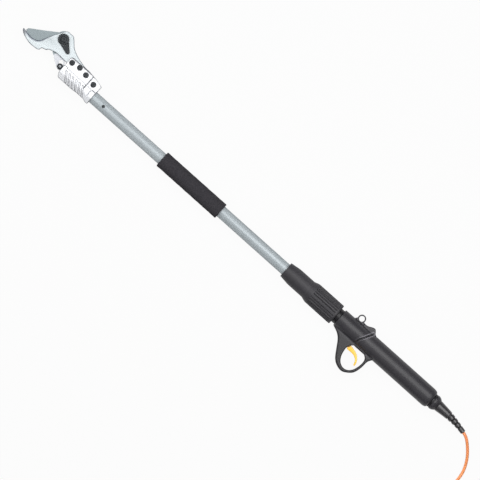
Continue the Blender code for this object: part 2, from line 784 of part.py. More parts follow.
def make_motor(root, materials):
    radius = TUBE_BORE - GAP
    front = TUBE_FRONT - 2.0
    rear = front - GEARBOX_LENGTH
    gearbox = new_shape()
    profile = [(rear, 0), (rear, radius), (front - 0.8, radius), (front, radius - 0.8)]
    socket = SPINDLE_RADIUS - 1.0 + GAP
    profile += [(front, socket), (front - 10.0, socket), (front - 10.0, 0)]
    add_turned(gearbox, profile, segments=20)
    box = add_object(root, "gearbox", gearbox, materials["steel"])
    combine(box, tube_screw_hole(root))
    motor = new_shape()
    start = rear - GAP
    end = start - MOTOR_LENGTH
    profile = [(start, 0), (start, radius), (end + 1.5, radius), (end, radius - 1.5)]
    profile += [(end, 6.0), (end - 4.0, 6.0), (end - 4.0, 0)]
    add_turned(motor, profile, segments=20)
    add_object(root, "motor", motor, materials["black_steel"])
    cable = new_shape()
    start = end - 4.0 - GAP
    end = HANDLE_FRONT - 38.0
    profile = [(start, 0), (start, CABLE_RADIUS), (end, CABLE_RADIUS), (end, 0)]
    add_turned(cable, profile, segments=10)
    add_object(root, "motor_cable", cable, materials["rubber"])


def tube_screw_hole(root):
    spot = (TUBE_SCREW_X, 0.0)
    cutter = through_hole(spot, TUBE_SCREW_SHANK + GAP, TUBE_BORE - 4.5, TINY_ROUND)
    return add_helper(root, "cut_tube_screw_hole", cutter)


# Pole


def make_pole(root, materials):
    tube = new_shape()
    profile = [(TUBE_REAR, TUBE_BORE), (TUBE_REAR, TUBE_RADIUS), (TUBE_FRONT, TUBE_RADIUS)]
    profile += [(TUBE_FRONT, TUBE_BORE)]
    add_turned(tube, profile, segments=32, bored=True)
    pole = add_object(root, "pole_tube", tube, materials["tube"])
    combine(pole, bpy.data.objects["cut_tube_screw_hole"])
    size = (TUBE_RADIUS + GAP, TUBE_SCREW_HEAD, TUBE_SCREW_SHANK, TUBE_BORE - 4.0)
    add_screw(root, "tube_screw", materials["black_steel"], (TUBE_SCREW_X, 0), *size)
    outer = TUBE_RADIUS + SLEEVE_THICKNESS
    inner = TUBE_RADIUS + GAP
    front = -SLEEVE_START
    rear = front - SLEEVE_LENGTH
    corner = SLEEVE_ROUNDING
    profile = [(rear, inner), (rear, outer - corner), (rear + corner, outer)]
    profile += [(front - corner, outer), (front, outer - corner), (front, inner)]
    sleeve = new_shape()
    add_turned(sleeve, profile, bored=True)
    add_object(root, "foam_sleeve", sleeve, materials["foam"])


# Twist collar, collet and spigot


def make_collar(root, materials):
    """A cone-fronted collar with two bands of grip ribs, over the collet and the spigot."""
    front = COLLAR_FRONT
    rear = COLLAR_REAR
    grip = COLLAR_RADIUS
    ribbed = toothed(grip, COLLAR_RIB_DEPTH, COLLAR_RIBS, COLLAR_PANELS)
    slim = TUBE_RADIUS + COLLAR_WALL
    bore = TUBE_RADIUS + 2 * GAP
    collet_room = TUBE_RADIUS + 5.3 + GAP
    thread = TUBE_RADIUS + SPIGOT_WALL + GAP
    outside = [(front, TUBE_RADIUS + 3.5), (front - 1.0, TUBE_RADIUS + 4.6), (front - 22.0, slim - 0.2)]
    outside += [(front - 66.0, slim), (front - 77.5, grip)]
    outside += [(front - 79.5, ribbed), (front - 108.0, ribbed), (front - 108.6, grip)]
    outside += [(front - 116.4, grip), (front - 117.0, ribbed), (rear + 4.4, ribbed)]
    outside += [(rear + 3.8, grip), (rear, grip - 1.2)]
    inside = [(rear, thread), (front - 86.0, thread), (front - 86.0, collet_room)]
    inside += [(front - 69.0, collet_room), (front - 33.0, bore + 1.7)]
    inside += [(front - 33.0, bore), (front, bore)]
    shape = new_shape()
    add_turned(shape, outside + inside, segments=2 * COLLAR_RIBS, bored=True)
    add_object(root, "lock_collar", shape, materials["plastic"], (rear, 0, 0))


def make_collet(root, materials):
    front = COLLAR_FRONT - 35.0
    rear = COLLAR_FRONT - 82.0
    bore = TUBE_RADIUS + GAP
    full = TUBE_RADIUS + 5.0
    profile = [(rear, bore), (rear, full), (COLLAR_FRONT - 69.6, full)]
    profile += [(front, bore + 1.4), (front, bore)]
    shape = new_shape()
    add_turned(shape, profile, segments=24, bored=True)
    collet = add_object(root, "collet", shape, materials["plastic"])
    slits = new_shape()
    add_box(slits, (rear + 9.0, -FAR, -0.8), (front + 5.0, FAR, 0.8))
    combine(collet, add_helper(root, "cut_collet_slits", slits))


def make_spigot(root, materials):
    front = COLLAR_FRONT - 88.0
    bore = TUBE_RADIUS + GAP
    thread = TUBE_RADIUS + SPIGOT_WALL
    neck = TUBE_RADIUS + NECK_WALL
    inner = HANDLE_FRONT - FRONT_WALL
    flange = min(BODY_CAVITY - GAP, neck + 0.6)
    end = inner - 10.0
    outside = [(front, bore), (front, thread), (COLLAR_REAR - GAP, thread)]
    outside += [(COLLAR_REAR - GAP, neck), (HANDLE_FRONT + GAP, neck)]
    outside += [(HANDLE_FRONT + GAP, thread), (inner, thread), (inner, flange)]
    outside += [(inner - 4.0, flange), (inner - 4.0, thread), (end, thread)]
    inside = [(end, CABLE_HOLE), (TUBE_REAR - GAP, CABLE_HOLE), (TUBE_REAR - GAP, bore)]
    shape = new_shape()
    add_turned(shape, outside + inside, segments=20, bored=True)
    add_object(root, "coupling_spigot", shape, materials["plastic"])


# Handle


def guard_outline():
    return from_handle(
        [(-3.5, 10.0)]
        + curve_through(
            [(-3.0, 22.4), (-17.6, 28.8), (-28.6, 38.5), (-39.6, 55.0), (-52.3, 73.3)]
            + [(-65.0, 82.2), (-79.8, 85.3), (-93.0, 79.5), (-104.0, 68.4)]
            + [(-109.2, 50.0), (-110.4, 33.0), (-116.0, 22.4)]
        )
        + [(-120.0, 10.0)]
    )


def finger_outline():
    return from_handle(
        curve_through(
            [(-64.5, 25.2), (-58.2, 32.0), (-55.6, 44.0), (-59.2, 60.5), (-67.6, 72.2)]
            + [(-79.8, 77.0), (-91.6, 73.2), (-100.1, 61.5), (-104.0, 44.0)]
            + [(-102.2, 32.0), (-95.0, 25.2)],
            3,
        )
    )


def trigger_outline():
    """The finger lever, from its hub to its tip, with an arm that reaches into the handle."""
    spot = TRIGGER_SPOT
    upper = curve_through([(-61.6, 29.9), (-72.6, 32.4), (-81.8, 36.2), (-89.1, 42.6), (-93.7, 49.9)])
    tip = [(-94.8, 56.0), (-94.2, 58.2), (-92.0, 57.4)]
    lower = curve_through([(-89.9, 49.5), (-85.3, 44.4), (-78.1, 40.7), (-68.8, 39.6), (-58.8, 40.2)])
    hub = arc(spot, TRIGGER_HUB, 115, -20, 6)
    arm = [(-42.6, 14.0), (-43.6, 7.5), (-49.6, 7.5), (-49.6, 14.0)]
    back = arc(spot, TRIGGER_HUB, 250, 200, 2)
    return from_handle(upper + tip + lower + hub + arm + back)


def pocket_outline():
    """The room for the trigger's root in the shells, open to the finger space and to the cavity."""
    points = [(-38.0, 5.0), (-38.0, 31.0), (-42.5, 39.5), (-50.0, 43.5), (-58.5, 45.0)]
    points += [(-63.0, 33.0), (-66.5, 24.0), (-65.0, 5.0)]
    return from_handle(points)


def eye_outline():
    centre = EYE_SPOT
    base = [(-59.5, -12.0), (-59.5, -26.4), (-54.5, -27.2)]
    ring = arc(centre, EYE_RADIUS, -200, 20, 12)
    return from_handle(base + ring + [(-26.0, -22.0), (-21.0, -19.6), (-21.0, -12.0)])


def tang_outline():
    return from_handle(
        [(-50.0, -12.0), (-50.6, -26.6)]
        + curve_through(
            [(-56.0, -27.0), (-62.0, -28.8), (-70.6, -33.0), (-76.3, -33.4), (-80.6, -29.4)]
        )
        + [(-84.5, -24.6), (-91.0, -21.6), (-91.0, -12.0)]
    )


def ridge_outline():
    """The slanting valley behind the thumb stop, between the body and the grip."""
    return from_handle(
        [(-72.0, -20.0), (-68.2, -8.0), (-63.6, 2.0), (-61.4, 12.0)]
        + [(-66.0, 8.0), (-70.2, -3.0), (-75.4, -11.0), (-79.6, -17.8)]
    )


def add_rounded_slab(shape, outline, half, rounding):
    narrow = inset(outline, rounding)
    levels = [(-half, narrow), (-half + rounding, outline), (half - rounding, outline), (half, narrow)]
    add_stack(shape, levels)


def handle_helpers(root):
    guard = new_shape()
    add_rounded_slab(guard, guard_outline(), GUARD_HALF, 3.0)
    finger = new_shape()
    flare = 2.4
    outline = finger_outline()
    add_stack(
        finger,
        [
            (-GUARD_HALF - 2, inset(outline, -flare - 2)),
            (-GUARD_HALF + flare, outline),
            (GUARD_HALF - flare, outline),
            (GUARD_HALF + 2, inset(outline, -flare - 2)),
        ],
    )
    eye = new_shape()
    add_rounded_slab(eye, eye_outline(), EYE_HALF, 0.9)
    eye_hole = through_hole(from_handle([EYE_SPOT])[0], EYE_HOLE, -FAR, 20)
    tang = new_shape()
    add_rounded_slab(tang, tang_outline(), 7.0, 2.0)
    pocket = new_shape()
    add_prism(pocket, pocket_outline(), -TRIGGER_HALF - 0.6, TRIGGER_HALF + 0.6)
    return {
        "guard": add_helper(root, "handle_guard", guard),
        "finger": add_helper(root, "cut_finger_space", finger),
        "eye": add_helper(root, "handle_eye", eye),
        "eye_hole": add_helper(root, "cut_eye_hole", eye_hole),
        "tang": add_helper(root, "handle_thumb_stop", tang),
        "pocket": add_helper(root, "cut_trigger_pocket", pocket),
        "cavity": add_helper(root, "cut_handle_cavity", handle_cavity()),
        "channel": add_helper(root, "cut_grip_channel", grip_channel()),
        "screws": add_helper(root, "cut_handle_screws", handle_screw_holes()),
        "pin": add_helper(root, "cut_trigger_pin", trigger_pin_hole()),
        "ridge": ridge_valley(root),
    }


def ridge_valley(root):
    """The slanting valley as a cutter that is hollow under the shell's skin."""
    band = new_shape()
    add_prism(band, ridge_outline(), -FAR, FAR)
    valley = add_helper(root, "cut_ridge_valley", band)
    core = new_shape()
    radius = BODY_RADIUS - RIDGE_DEPTH
    rear = HANDLE_FRONT - BODY_LENGTH
    add_turned(core, [(rear, 0), (rear, radius), (HANDLE_FRONT, radius), (HANDLE_FRONT, 0)])
    combine(valley, add_helper(root, "ridge_valley_core", core), "DIFFERENCE", HANDLE_SOLVER)
    return valley


def handle_cavity():
    """The round room in the body, with the front bore for the spigot and the rear one for the gland."""
    front = HANDLE_FRONT
    bore = TUBE_RADIUS + SPIGOT_WALL + GAP
    step = front - FRONT_WALL + GAP
    shape = new_shape()
    profile = [(front + 5, 0), (front + 5, bore), (step, bore), (step, BODY_CAVITY)]
    profile += [(front - BODY_LENGTH, BODY_CAVITY), (front - BODY_LENGTH, 0)]
    add_turned(shape, profile)
    profile = [(HANDLE_END - 5, 0), (HANDLE_END - 5, GLAND_THREAD + GAP)]
    profile += [(HANDLE_END + GLAND_HOLE, GLAND_THREAD + GAP), (HANDLE_END + GLAND_HOLE, 0)]
    add_turned(shape, profile, segments=SMALL_ROUND)
    return shape


def grip_channel():
    half = GRIP_CHANNEL_HALF
    shape = new_shape()
    add_box(
        shape,
        (HANDLE_END + 12.0, -half, -half - 2.0),
        (HANDLE_FRONT - BODY_LENGTH + 2.0, half, half + 2.0),
    )
    return shape


def handle_screw_seats():
    """Where each handle screw sits, as (x, y, z of its head's seat) on the lower side."""
    seats = [(HANDLE_FRONT + x, y, -5.0) for x, y in GUARD_SCREWS]
    seats += [(HANDLE_FRONT + x, y, -9.0) for x, y in GRIP_SCREWS]
    seats.append((HANDLE_END + END_SCREW[0], END_SCREW[1], -9.0))
    return seats


def handle_screw_holes():
    shape = new_shape()
    head = HANDLE_SCREW_HEAD[0] + GAP
    shank = HANDLE_SCREW_SHANK + GAP
    bottom = HANDLE_SCREW_TIP + GAP
    for x, y, seat in handle_screw_seats():
        profile = [(-FAR, 0), (-FAR, head), (seat + GAP, head), (seat + GAP, shank)]
        profile += [(bottom, shank), (bottom, 0)]
        add_turned(shape, profile, "Z", (x, y, 0), TINY_ROUND)
    return shape


def trigger_pin_hole():
    reach = TRIGGER_PIN_HALF + GAP
    radius = TRIGGER_PIN_RADIUS + GAP
    shape = new_shape()
    profile = [(-reach, 0), (-reach, radius), (reach, radius), (reach, 0)]
    add_turned(shape, profile, "Z", (*from_handle([TRIGGER_SPOT])[0], 0), TINY_ROUND)
    return shape


def make_handle_shell(root, materials, name, side, helpers):
    front = HANDLE_FRONT
    end = HANDLE_END
    seam = front - BODY_LENGTH
    profile = [(end, 0), (end, GRIP_RADIUS - 5.3), (end + 1.6, GRIP_RADIUS - 2.6)]
    profile += [(end + 5.0, GRIP_RADIUS - 0.8), (end + 11.0, GRIP_RADIUS)]
    profile += [(seam - 4.0, GRIP_RADIUS), (seam, BODY_RADIUS)]
    profile += [(front - 1.5, BODY_RADIUS), (front, BODY_RADIUS - 1.5), (front, 0)]
    shape = new_shape()
    add_turned(shape, profile, segments=36)
    shell = add_object(root, name, shape, materials["plastic"])
    for key in ("guard", "eye", "tang"):
        combine(shell, helpers[key], "UNION", HANDLE_SOLVER)
    for key in ("ridge", "finger", "eye_hole", "pocket", "cavity", "channel", "screws", "pin"):
        combine(shell, helpers[key], "DIFFERENCE", HANDLE_SOLVER)
    other = new_shape()
    split = GAP / 2
    low, high = sorted((side * split, -side * FAR))
    add_box(other, (end - FAR, -FAR * 2, low), (front + FAR, FAR * 2, high))
    combine(shell, add_helper(root, f"cut_beyond_{name}", other), "DIFFERENCE", HANDLE_SOLVER)


def make_trigger(root, materials):
    spot = from_handle([TRIGGER_SPOT])[0]
    shape = new_shape()
    outline = trigger_outline()
    add_rounded_slab(shape, outline, TRIGGER_HALF, 0.6)
    trigger = add_object(root, "trigger", shape, materials["amber"], (*spot, 0))
    combine(trigger, bpy.data.objects["cut_trigger_pin"])
    inner = SPRING_RADIUS - SPRING_WIRE - 1.3
    outer = SPRING_RADIUS + SPRING_WIRE + 1.6
    ring = new_shape()
    profile = [(2.6, inner), (2.6, outer), (9.0, outer), (9.0, inner)]
    add_turned(ring, profile, "Z", (*spot, 0), SMALL_ROUND, bored=True)
    combine(trigger, add_helper(root, "cut_spring_room", ring))
    make_magnet(root, materials, trigger)
    pin = new_shape()
    radius = TRIGGER_PIN_RADIUS
    reach = TRIGGER_PIN_HALF
    profile = [(-reach, 0), (-reach, radius), (reach, radius), (reach, 0)]
    add_turned(pin, profile, "Z", (*spot, 0), TINY_ROUND)
    add_object(root, "trigger_pin", pin, materials["steel"], (*spot, 0))


def make_magnet(root, materials, trigger):
    """The magnet in the lower face of the trigger's arm, over the board's sensor."""
    spot = from_handle([MAGNET_SPOT])[0]
    face = -TRIGGER_HALF
    hole = MAGNET_RADIUS + GAP
    socket = new_shape()
    profile = [(-FAR, 0), (-FAR, hole), (face + 3.3, hole), (face + 3.3, 0)]
    add_turned(socket, profile, "Z", (*spot, 0), TINY_ROUND)
    combine(trigger, add_helper(root, "cut_magnet_socket", socket))
    magnet = new_shape()
    low, high = face + 0.1, face + 3.0
    profile = [(low, 0), (low, MAGNET_RADIUS), (high, MAGNET_RADIUS), (high, 0)]
    add_turned(magnet, profile, "Z", (*spot, 0), TINY_ROUND)
    hinge = from_handle([TRIGGER_SPOT])[0]
    add_object(root, "trigger_magnet", magnet, materials["steel"], (*hinge, 0))


def make_trigger_spring(root, materials):
    """A torsion coil round the trigger's hub."""
    x, y = from_handle([TRIGGER_SPOT])[0]
    points = []
    for i in range(SPRING_TURNS * TINY_ROUND + 1):
        turned = i / TINY_ROUND
        angle = 2 * math.pi * turned
        across = SPRING_RADIUS * math.cos(angle)
        along = SPRING_RADIUS * math.sin(angle)
        points.append((x + across, y + along, 3.2 + SPRING_PITCH * turned))
    add_tube(root, "trigger_spring", points, SPRING_WIRE, 1, materials["steel"])


def make_electronics(root, materials):
    low, high = -9.6, -8.0
    front = HANDLE_FRONT - 40.0
    rear = HANDLE_FRONT - 168.0
    board = new_shape()
    add_box(board, (rear, -11.0, low), (front, 11.0, high))
    made = add_object(root, "control_board", board, materials["board"])
    chips = new_shape()
    for x, y, length, width, height in (
        (-46.6, 10.2, 4.0, 1.4, 0.9),
        (-62.0, -4.0, 12.0, 10.0, 2.0),
        (-96.0, 0.0, 16.0, 16.0, 7.5),
        (-120.0, 0.0, 10.0, 18.0, 4.0),
        (-146.0, 0.0, 18.0, 12.0, 9.0),
    ):
        x += HANDLE_FRONT
        top = (x + length / 2, y + width / 2, high + height)
        add_box(chips, (x - length / 2, y - width / 2, high - 0.8), top)
    combine(made, add_helper(root, "board_parts", chips), "UNION")
    wire = new_shape()
    start = HANDLE_END + 17.0
    profile = [(start, 0), (start, 2.4), (rear - 3.0, 2.4), (rear - 3.0, 0)]
    add_turned(wire, profile, segments=10)
    add_object(root, "power_wire", wire, materials["rubber"])


def make_handle_screws(root, materials):
    black = materials["black_steel"]
    size = (HANDLE_SCREW_HEAD, HANDLE_SCREW_SHANK, HANDLE_SCREW_TIP)
    for number, (x, y, seat) in enumerate(handle_screw_seats(), 1):
        add_screw(root, f"handle_screw_{number}", black, (x, y), seat, *size)


# Gland, boot, cord and plug


def make_gland(root, materials):
    end = HANDLE_END
    thread = GLAND_THREAD
    inner = end + GLAND_HOLE - GAP
    flange_front = end - GAP
    flange_rear = end - 5.0
    tip = end - 12.0
    body = new_shape()
    profile = [(inner, 0), (inner, thread), (flange_front, thread), (flange_front, GLAND_FLANGE)]
    profile += [(flange_rear, GLAND_FLANGE), (flange_rear, thread), (tip, thread), (tip, 0)]
    add_turned(body, profile, segments=20)
    add_object(root, "gland_body", body, materials["plastic"])
    nut = new_shape()
    halves = (GLAND_FLANGE - 0.2, GLAND_FLANGE - 1.4, GLAND_FLANGE - 4.6)
    outer, middle, small = (flatted(half, GLAND_NUT_FACES) for half in halves)
    seat = flange_rear - GAP
    rear = end - 17.6
    profile = [(seat, thread + GAP), (seat, outer), (end - 9.0, outer)]
    profile += [(end - 13.0, middle), (rear, small), (rear, 4.0)]
    profile += [(tip - GAP, 4.0), (tip - GAP, thread + GAP)]
    add_turned(nut, profile, segments=2 * GLAND_NUT_FACES, bored=True)
    nut_object = add_object(root, "gland_nut", nut, materials["plastic"])
    nut_object.data.set_sharp_from_angle(angle=math.radians(15))


def boot_spot(distance):
    """The boot's centreline at a distance behind the handle's end, sagging to the trigger's side."""
    bend = max(0.0, distance - BOOT_BEND_START)
    return Vector((HANDLE_END - distance, BOOT_BEND * bend**2, 0.0))


def boot_heading(distance):
    bend = max(0.0, distance - BOOT_BEND_START)
    return Vector((-1.0, 2 * BOOT_BEND * bend, 0.0)).normalized()


def make_boot(root, materials):
    """A tapering boot of ribs on a core, along the cord's first bend."""
    groove = BOOT_GROOVE
    profile = [(18.0, 12.2), (19.2, 12.7), (36.0, 11.0), (52.6, 9.4), (53.0, 9.4 * groove)]
    for start, end, radius in BOOT_RIBS:
        profile += [(start - 0.2, radius * groove), (start + 0.4, radius), (end - 0.4, radius * 0.97)]
        profile += [(end, radius * (groove if end < BOOT_LENGTH else 0.8))]
    up = Vector((0, 0, 1))
    angles = [2 * math.pi * i / SMALL_ROUND for i in range(SMALL_ROUND)]
    rings = []
    for distance, radius in profile:
        centre = boot_spot(distance)
        side = boot_heading(distance).cross(up)
        rings.append([centre + (side * math.cos(a) + up * math.sin(a)) * radius for a in angles])
    shape = new_shape()
    add_rings(shape, rings)
    add_object(root, "cord_boot", shape, materials["rubber"])


def add_tube(root, name, points, radius, resolution, material):
    """A round tube along a path of points, with closed ends."""
    data = bpy.data.curves.new(name, "CURVE")
    data.dimensions = "3D"
    data.bevel_depth = radius * MM
    data.bevel_resolution = resolution
    data.use_fill_caps = True
    line = data.splines.new("POLY")
    line.points.add(len(points) - 1)
    for place, point in zip(line.points, points):
        place.co = (*(Vector(point) * MM), 1.0)
    data.materials.append(material)
    obj = bpy.data.objects.new(name, data)
    bpy.context.collection.objects.link(obj)
    obj.parent = root
    return obj


def coil_centre():
    lead_end = lead_route()[-1]
    return Vector((lead_end[0] - COIL_RADIUS, lead_end[1] + 2 * CORD_RADIUS + GAP, CORD_LEVEL))


def lead_route():
    """The cord's chosen points from the boot to the coil: it drops to the floor as it turns."""
    start = boot_spot(BOOT_LENGTH + GAP)
    route = [(start.x, start.y, 0.0)]
    for x, y, z in (
        (-106.8, 9.4, -0.3),
        (-115.6, 14.4, -1.8),
        (-128.4, 25.6, -6.6),
        (-141.4, 40.3, -12.8),
        (-151.6, 57.0, -18.2),
        (-158.0, 74.0, CORD_LEVEL + 0.8),
        (-160.4, 92.0, CORD_LEVEL),
        (-160.5, 112.0, CORD_LEVEL),
        (-160.5, 133.0, CORD_LEVEL),
    ):
        route.append((HANDLE_END + x, y, z))
    return route


def coil_path():
    """Loops that spiral in on the floor and out again a layer higher, with straight ends."""
    centre = coil_centre()
    steps = int(COIL_TURNS * COIL_STEPS)
    straight = 2 * CORD_RADIUS
    points = [(centre.x + COIL_RADIUS, centre.y - straight, CORD_LEVEL)]
    for i in range(steps + 1):
        turned = COIL_TURNS * i / steps
        depth = min(turned, COIL_TURNS - turned)
        radius = COIL_RADIUS - COIL_PITCH * depth
        climb = min(max((turned - COIL_TURNS / 2) * 2 + 0.5, 0.0), 1.0)
        lift = COIL_LAYER * climb
        angle = 2 * math.pi * turned
        across = radius * math.cos(angle)
        along = radius * math.sin(angle)
        points.append((centre.x + across, centre.y + along, CORD_LEVEL + lift))
    last = points[-1]
    points.append((last[0], last[1] - straight, last[2]))
    return points


def tail_route(coil_end):
    """The cord's chosen points from the coil to the plug, which lies on the floor."""
    x, y, z = coil_end
    plug_level = FLOOR + PLUG_RADIUS
    route = [(x, y - GAP, z), (x, y - 14.3, z - 0.3), (x - 1, y - 34.3, plug_level)]
    return route + [(x - 2, y - 52.3, plug_level), (x - 2, y - 62.3, plug_level)]


def least_gap(points, radius, apart):
    """The least space between stretches of a path that lie more than some points apart."""
    places = [Vector(point) for point in points]
    gaps = []
    for i, place in enumerate(places):
        for other in range(i + apart, len(places) - 1):
            start, end = places[other], places[other + 1]
            share = (place - start).dot(end - start) / (end - start).length_squared
            nearest = start + (end - start) * min(max(share, 0.0), 1.0)
            gaps.append((place - nearest).length - 2 * radius)
    return min(gaps)


def make_cord(root, materials):
    """The lead, its coil and its end with the plug. Returns the names of all that is loose."""
    lead = [(x, y, max(z, CORD_LEVEL)) for x, y, z in curve_through(lead_route())]
    add_tube(root, "cord_lead", lead, CORD_RADIUS, 2, materials["cord"])
    coil = coil_path()
    add_tube(root, "cord_coil", coil, CORD_RADIUS, 1, materials["cord"])
    print(f"least gap between the coil's loops: {least_gap(coil, CORD_RADIUS, COIL_STEPS // 2):.2f} mm")
    tail = curve_through(tail_route(coil[-1]))
    add_tube(root, "cord_tail", tail, CORD_RADIUS, 2, materials["cord"])
    end = tail[-1]
    make_plug(root, materials, (end[0], end[1] - GAP, end[2]))
    return ["cord_lead", "cord_coil", "cord_tail", "plug_body", "plug_pin_1", "plug_pin_2"]


def make_plug(root, materials, start):
    """A moulded plug along -Y, with a ribbed neck, a barrel and two contact pins in an open rim."""
    neck = 4.6
    profile = [(0, 0), (0, neck)]
    for i in range(3):
        low = neck + 0.4 * i
        profile += [(-1.8 - 4 * i, low), (-2.8 - 4 * i, low + 1.5), (-4.8 - 4 * i, low)]
    radius = PLUG_RADIUS
    rim = radius - 1.4
    end = -PLUG_LENGTH
    floor = end + PLUG_RECESS
    profile += [(-15.0, radius - 1.0), (-16.5, radius), (end + 1, radius)]
    profile += [(end, radius - 1), (end, rim), (floor, rim), (floor, 0)]
    body = new_shape()
    add_turned(body, profile, "Y", start, TINY_ROUND)
    plug = add_object(root, "plug_body", body, materials["rubber"])
    holes = new_shape()
    for number, side in enumerate((-1, 1), 1):
        base = (start[0] + side * PLUG_PIN_SIDE, start[1], start[2])
        root_end = floor + 6.0
        tip = end + 1.8
        pin = new_shape()
        profile = [(root_end, 0), (root_end, PLUG_PIN_RADIUS), (tip + 0.6, PLUG_PIN_RADIUS)]
        profile += [(tip, PLUG_PIN_RADIUS - 0.5), (tip, 0)]
        add_turned(pin, profile, "Y", base, TINY_ROUND)
        add_object(root, f"plug_pin_{number}", pin, materials["brass"])
        hole = PLUG_PIN_RADIUS + GAP
        bore = [(root_end + GAP, 0), (root_end + GAP, hole), (floor - 5, hole), (floor - 5, 0)]
        add_turned(holes, bore, "Y", base, TINY_ROUND)
    combine(plug, add_helper(root, "cut_plug_pin_holes", holes))


def place_root(root, cord_names):
    """Puts the origin under the middle of the tool, without its cord, with the tool on the floor."""
    bpy.context.view_layer.update()
    graph = bpy.context.evaluated_depsgraph_get()
    corners = []
    for obj in bpy.context.collection.objects:
        if obj.type != "MESH" or obj.hide_render or obj.name in cord_names:
            continue
        seen = obj.evaluated_get(graph)
        corners += [seen.matrix_world @ Vector(corner) for corner in seen.bound_box]
    low = [min(corner[i] for corner in corners) for i in range(3)]
    high = [max(corner[i] for corner in corners) for i in range(3)]
    root.location = (-(low[0] + high[0]) / 2, -(low[1] + high[1]) / 2, -FLOOR * MM)
    print("root at", [round(value, 5) for value in root.location])


def main():
    clear_scene()
    materials = make_materials()
    root = bpy.data.objects.new("tool_frame", None)
    bpy.context.collection.objects.link(root)
    holes = make_hole_helpers(root)
    make_hook_plate(root, materials, holes)
    make_blade(root, materials, holes)
    make_pivot(root, materials)
    make_lock_plate(root, materials, holes)
    helpers = housing_helpers(root)
    make_housing_half(root, materials, "head_housing_upper", 1, holes, helpers)
    make_housing_half(root, materials, "head_housing_lower", -1, holes, helpers)
    make_head_screws(root, materials)
    make_crosshead(root, materials)
    make_pin(root, materials)
    make_drive(root, materials)
    make_motor(root, materials)
    make_pole(root, materials)
    make_collar(root, materials)
    make_collet(root, materials)
    make_spigot(root, materials)
    shared = handle_helpers(root)
    make_handle_shell(root, materials, "handle_shell_upper", 1, shared)
    make_handle_shell(root, materials, "handle_shell_lower", -1, shared)
    make_trigger(root, materials)
    make_trigger_spring(root, materials)
    make_electronics(root, materials)
    make_handle_screws(root, materials)
    make_gland(root, materials)
    make_boot(root, materials)
    cord_names = make_cord(root, materials)
    place_root(root, cord_names)


main()
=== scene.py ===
"""Cordless pole pruner: the looks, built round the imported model.

Sizes are in millimetres in the tool's own frame, and the bench turns them into metres. X runs
along the pole towards the head, with 0 at the rear face of the head's housing. Y points to the
trigger's side, and Z points up from the tool's mid-plane, on which the blade lies.
"""

import logging
import math
from collections.abc import Callable, Iterator, Sequence
from contextlib import contextmanager
from dataclasses import dataclass, replace
from enum import Enum

import bpy
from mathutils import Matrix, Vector
from mathutils.kdtree import KDTree


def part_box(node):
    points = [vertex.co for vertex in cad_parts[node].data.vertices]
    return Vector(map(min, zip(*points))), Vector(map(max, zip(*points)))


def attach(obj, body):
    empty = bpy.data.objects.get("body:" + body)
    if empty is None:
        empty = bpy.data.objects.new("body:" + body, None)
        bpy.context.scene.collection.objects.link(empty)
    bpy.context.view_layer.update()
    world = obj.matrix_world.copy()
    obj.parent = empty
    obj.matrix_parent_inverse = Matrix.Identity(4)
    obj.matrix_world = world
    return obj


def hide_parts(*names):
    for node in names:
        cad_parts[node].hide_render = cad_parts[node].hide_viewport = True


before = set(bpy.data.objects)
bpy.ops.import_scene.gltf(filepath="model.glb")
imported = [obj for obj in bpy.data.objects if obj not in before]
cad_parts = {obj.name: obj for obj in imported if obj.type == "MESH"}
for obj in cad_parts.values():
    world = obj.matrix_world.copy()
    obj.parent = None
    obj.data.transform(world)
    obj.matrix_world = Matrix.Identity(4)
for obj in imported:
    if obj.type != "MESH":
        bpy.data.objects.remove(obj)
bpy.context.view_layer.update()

MM = 0.001
GAP = 0.3
FAR = 60.0
FINE, SMALL, COARSE, TINY = 96, 48, 32, 24
# The mark attribute: painted shade where it is above zero, a painted highlight where it is below
PAINTED_LIGHT = "hollow"
WHITE = (1.0, 1.0, 1.0, 1.0)

# A point or a spot is a place, and a pair or a triple holds other numbers
Point = tuple[float, float]
Spot = tuple[float, float, float]
Pair = tuple[float, float]
Triple = tuple[float, float, float]
Outline = list[Point]
Piece = bpy.types.Object
Node = bpy.types.Node
Socket = bpy.types.NodeSocket

log = logging.getLogger("pole_pruner")


class Body(Enum):
    """The moving bodies that carry new pieces."""

    TOOL = "tool"
    BLADE = "blade"
    SLIDE = "slide"
    COLLAR = "collar"
    TRIGGER = "finger_trigger"


class Axis(Enum):
    """An axis as its own direction and the two directions across it."""

    X = (Vector((1, 0, 0)), Vector((0, 1, 0)), Vector((0, 0, 1)))
    Y = (Vector((0, 1, 0)), Vector((0, 0, 1)), Vector((1, 0, 0)))
    Z = (Vector((0, 0, 1)), Vector((1, 0, 0)), Vector((0, 1, 0)))


class Way(Enum):
    """How a helper changes a piece."""

    CUT = "DIFFERENCE"
    JOIN = "UNION"
    KEEP = "INTERSECT"


class Solver(Enum):
    """The boolean solver: careful for most pieces, and quick for closed ones with many faces."""

    CAREFUL = "EXACT"
    QUICK = "MANIFOLD"


# Outlines


def spoke(centre: Point, radius: float, angle: float) -> Point:
    """Gives the point at a distance from a centre, and at an angle in degrees."""
    turn = math.radians(angle)
    return (centre[0] + radius * math.cos(turn), centre[1] + radius * math.sin(turn))


def arc(centre: Point, radius: float, start: float, end: float, steps: int) -> Outline:
    """Gives the points of an arc from one angle to another, in a number of steps."""
    return [spoke(centre, radius, start + (end - start) * i / steps) for i in range(steps + 1)]


def polygon(centre: Point, half_flats: float, sides: int = 6) -> Outline:
    """Gives a regular polygon's corners from its half width across flats."""
    return arc(centre, half_flats / math.cos(math.pi / sides), 0, 360, sides)[:-1]


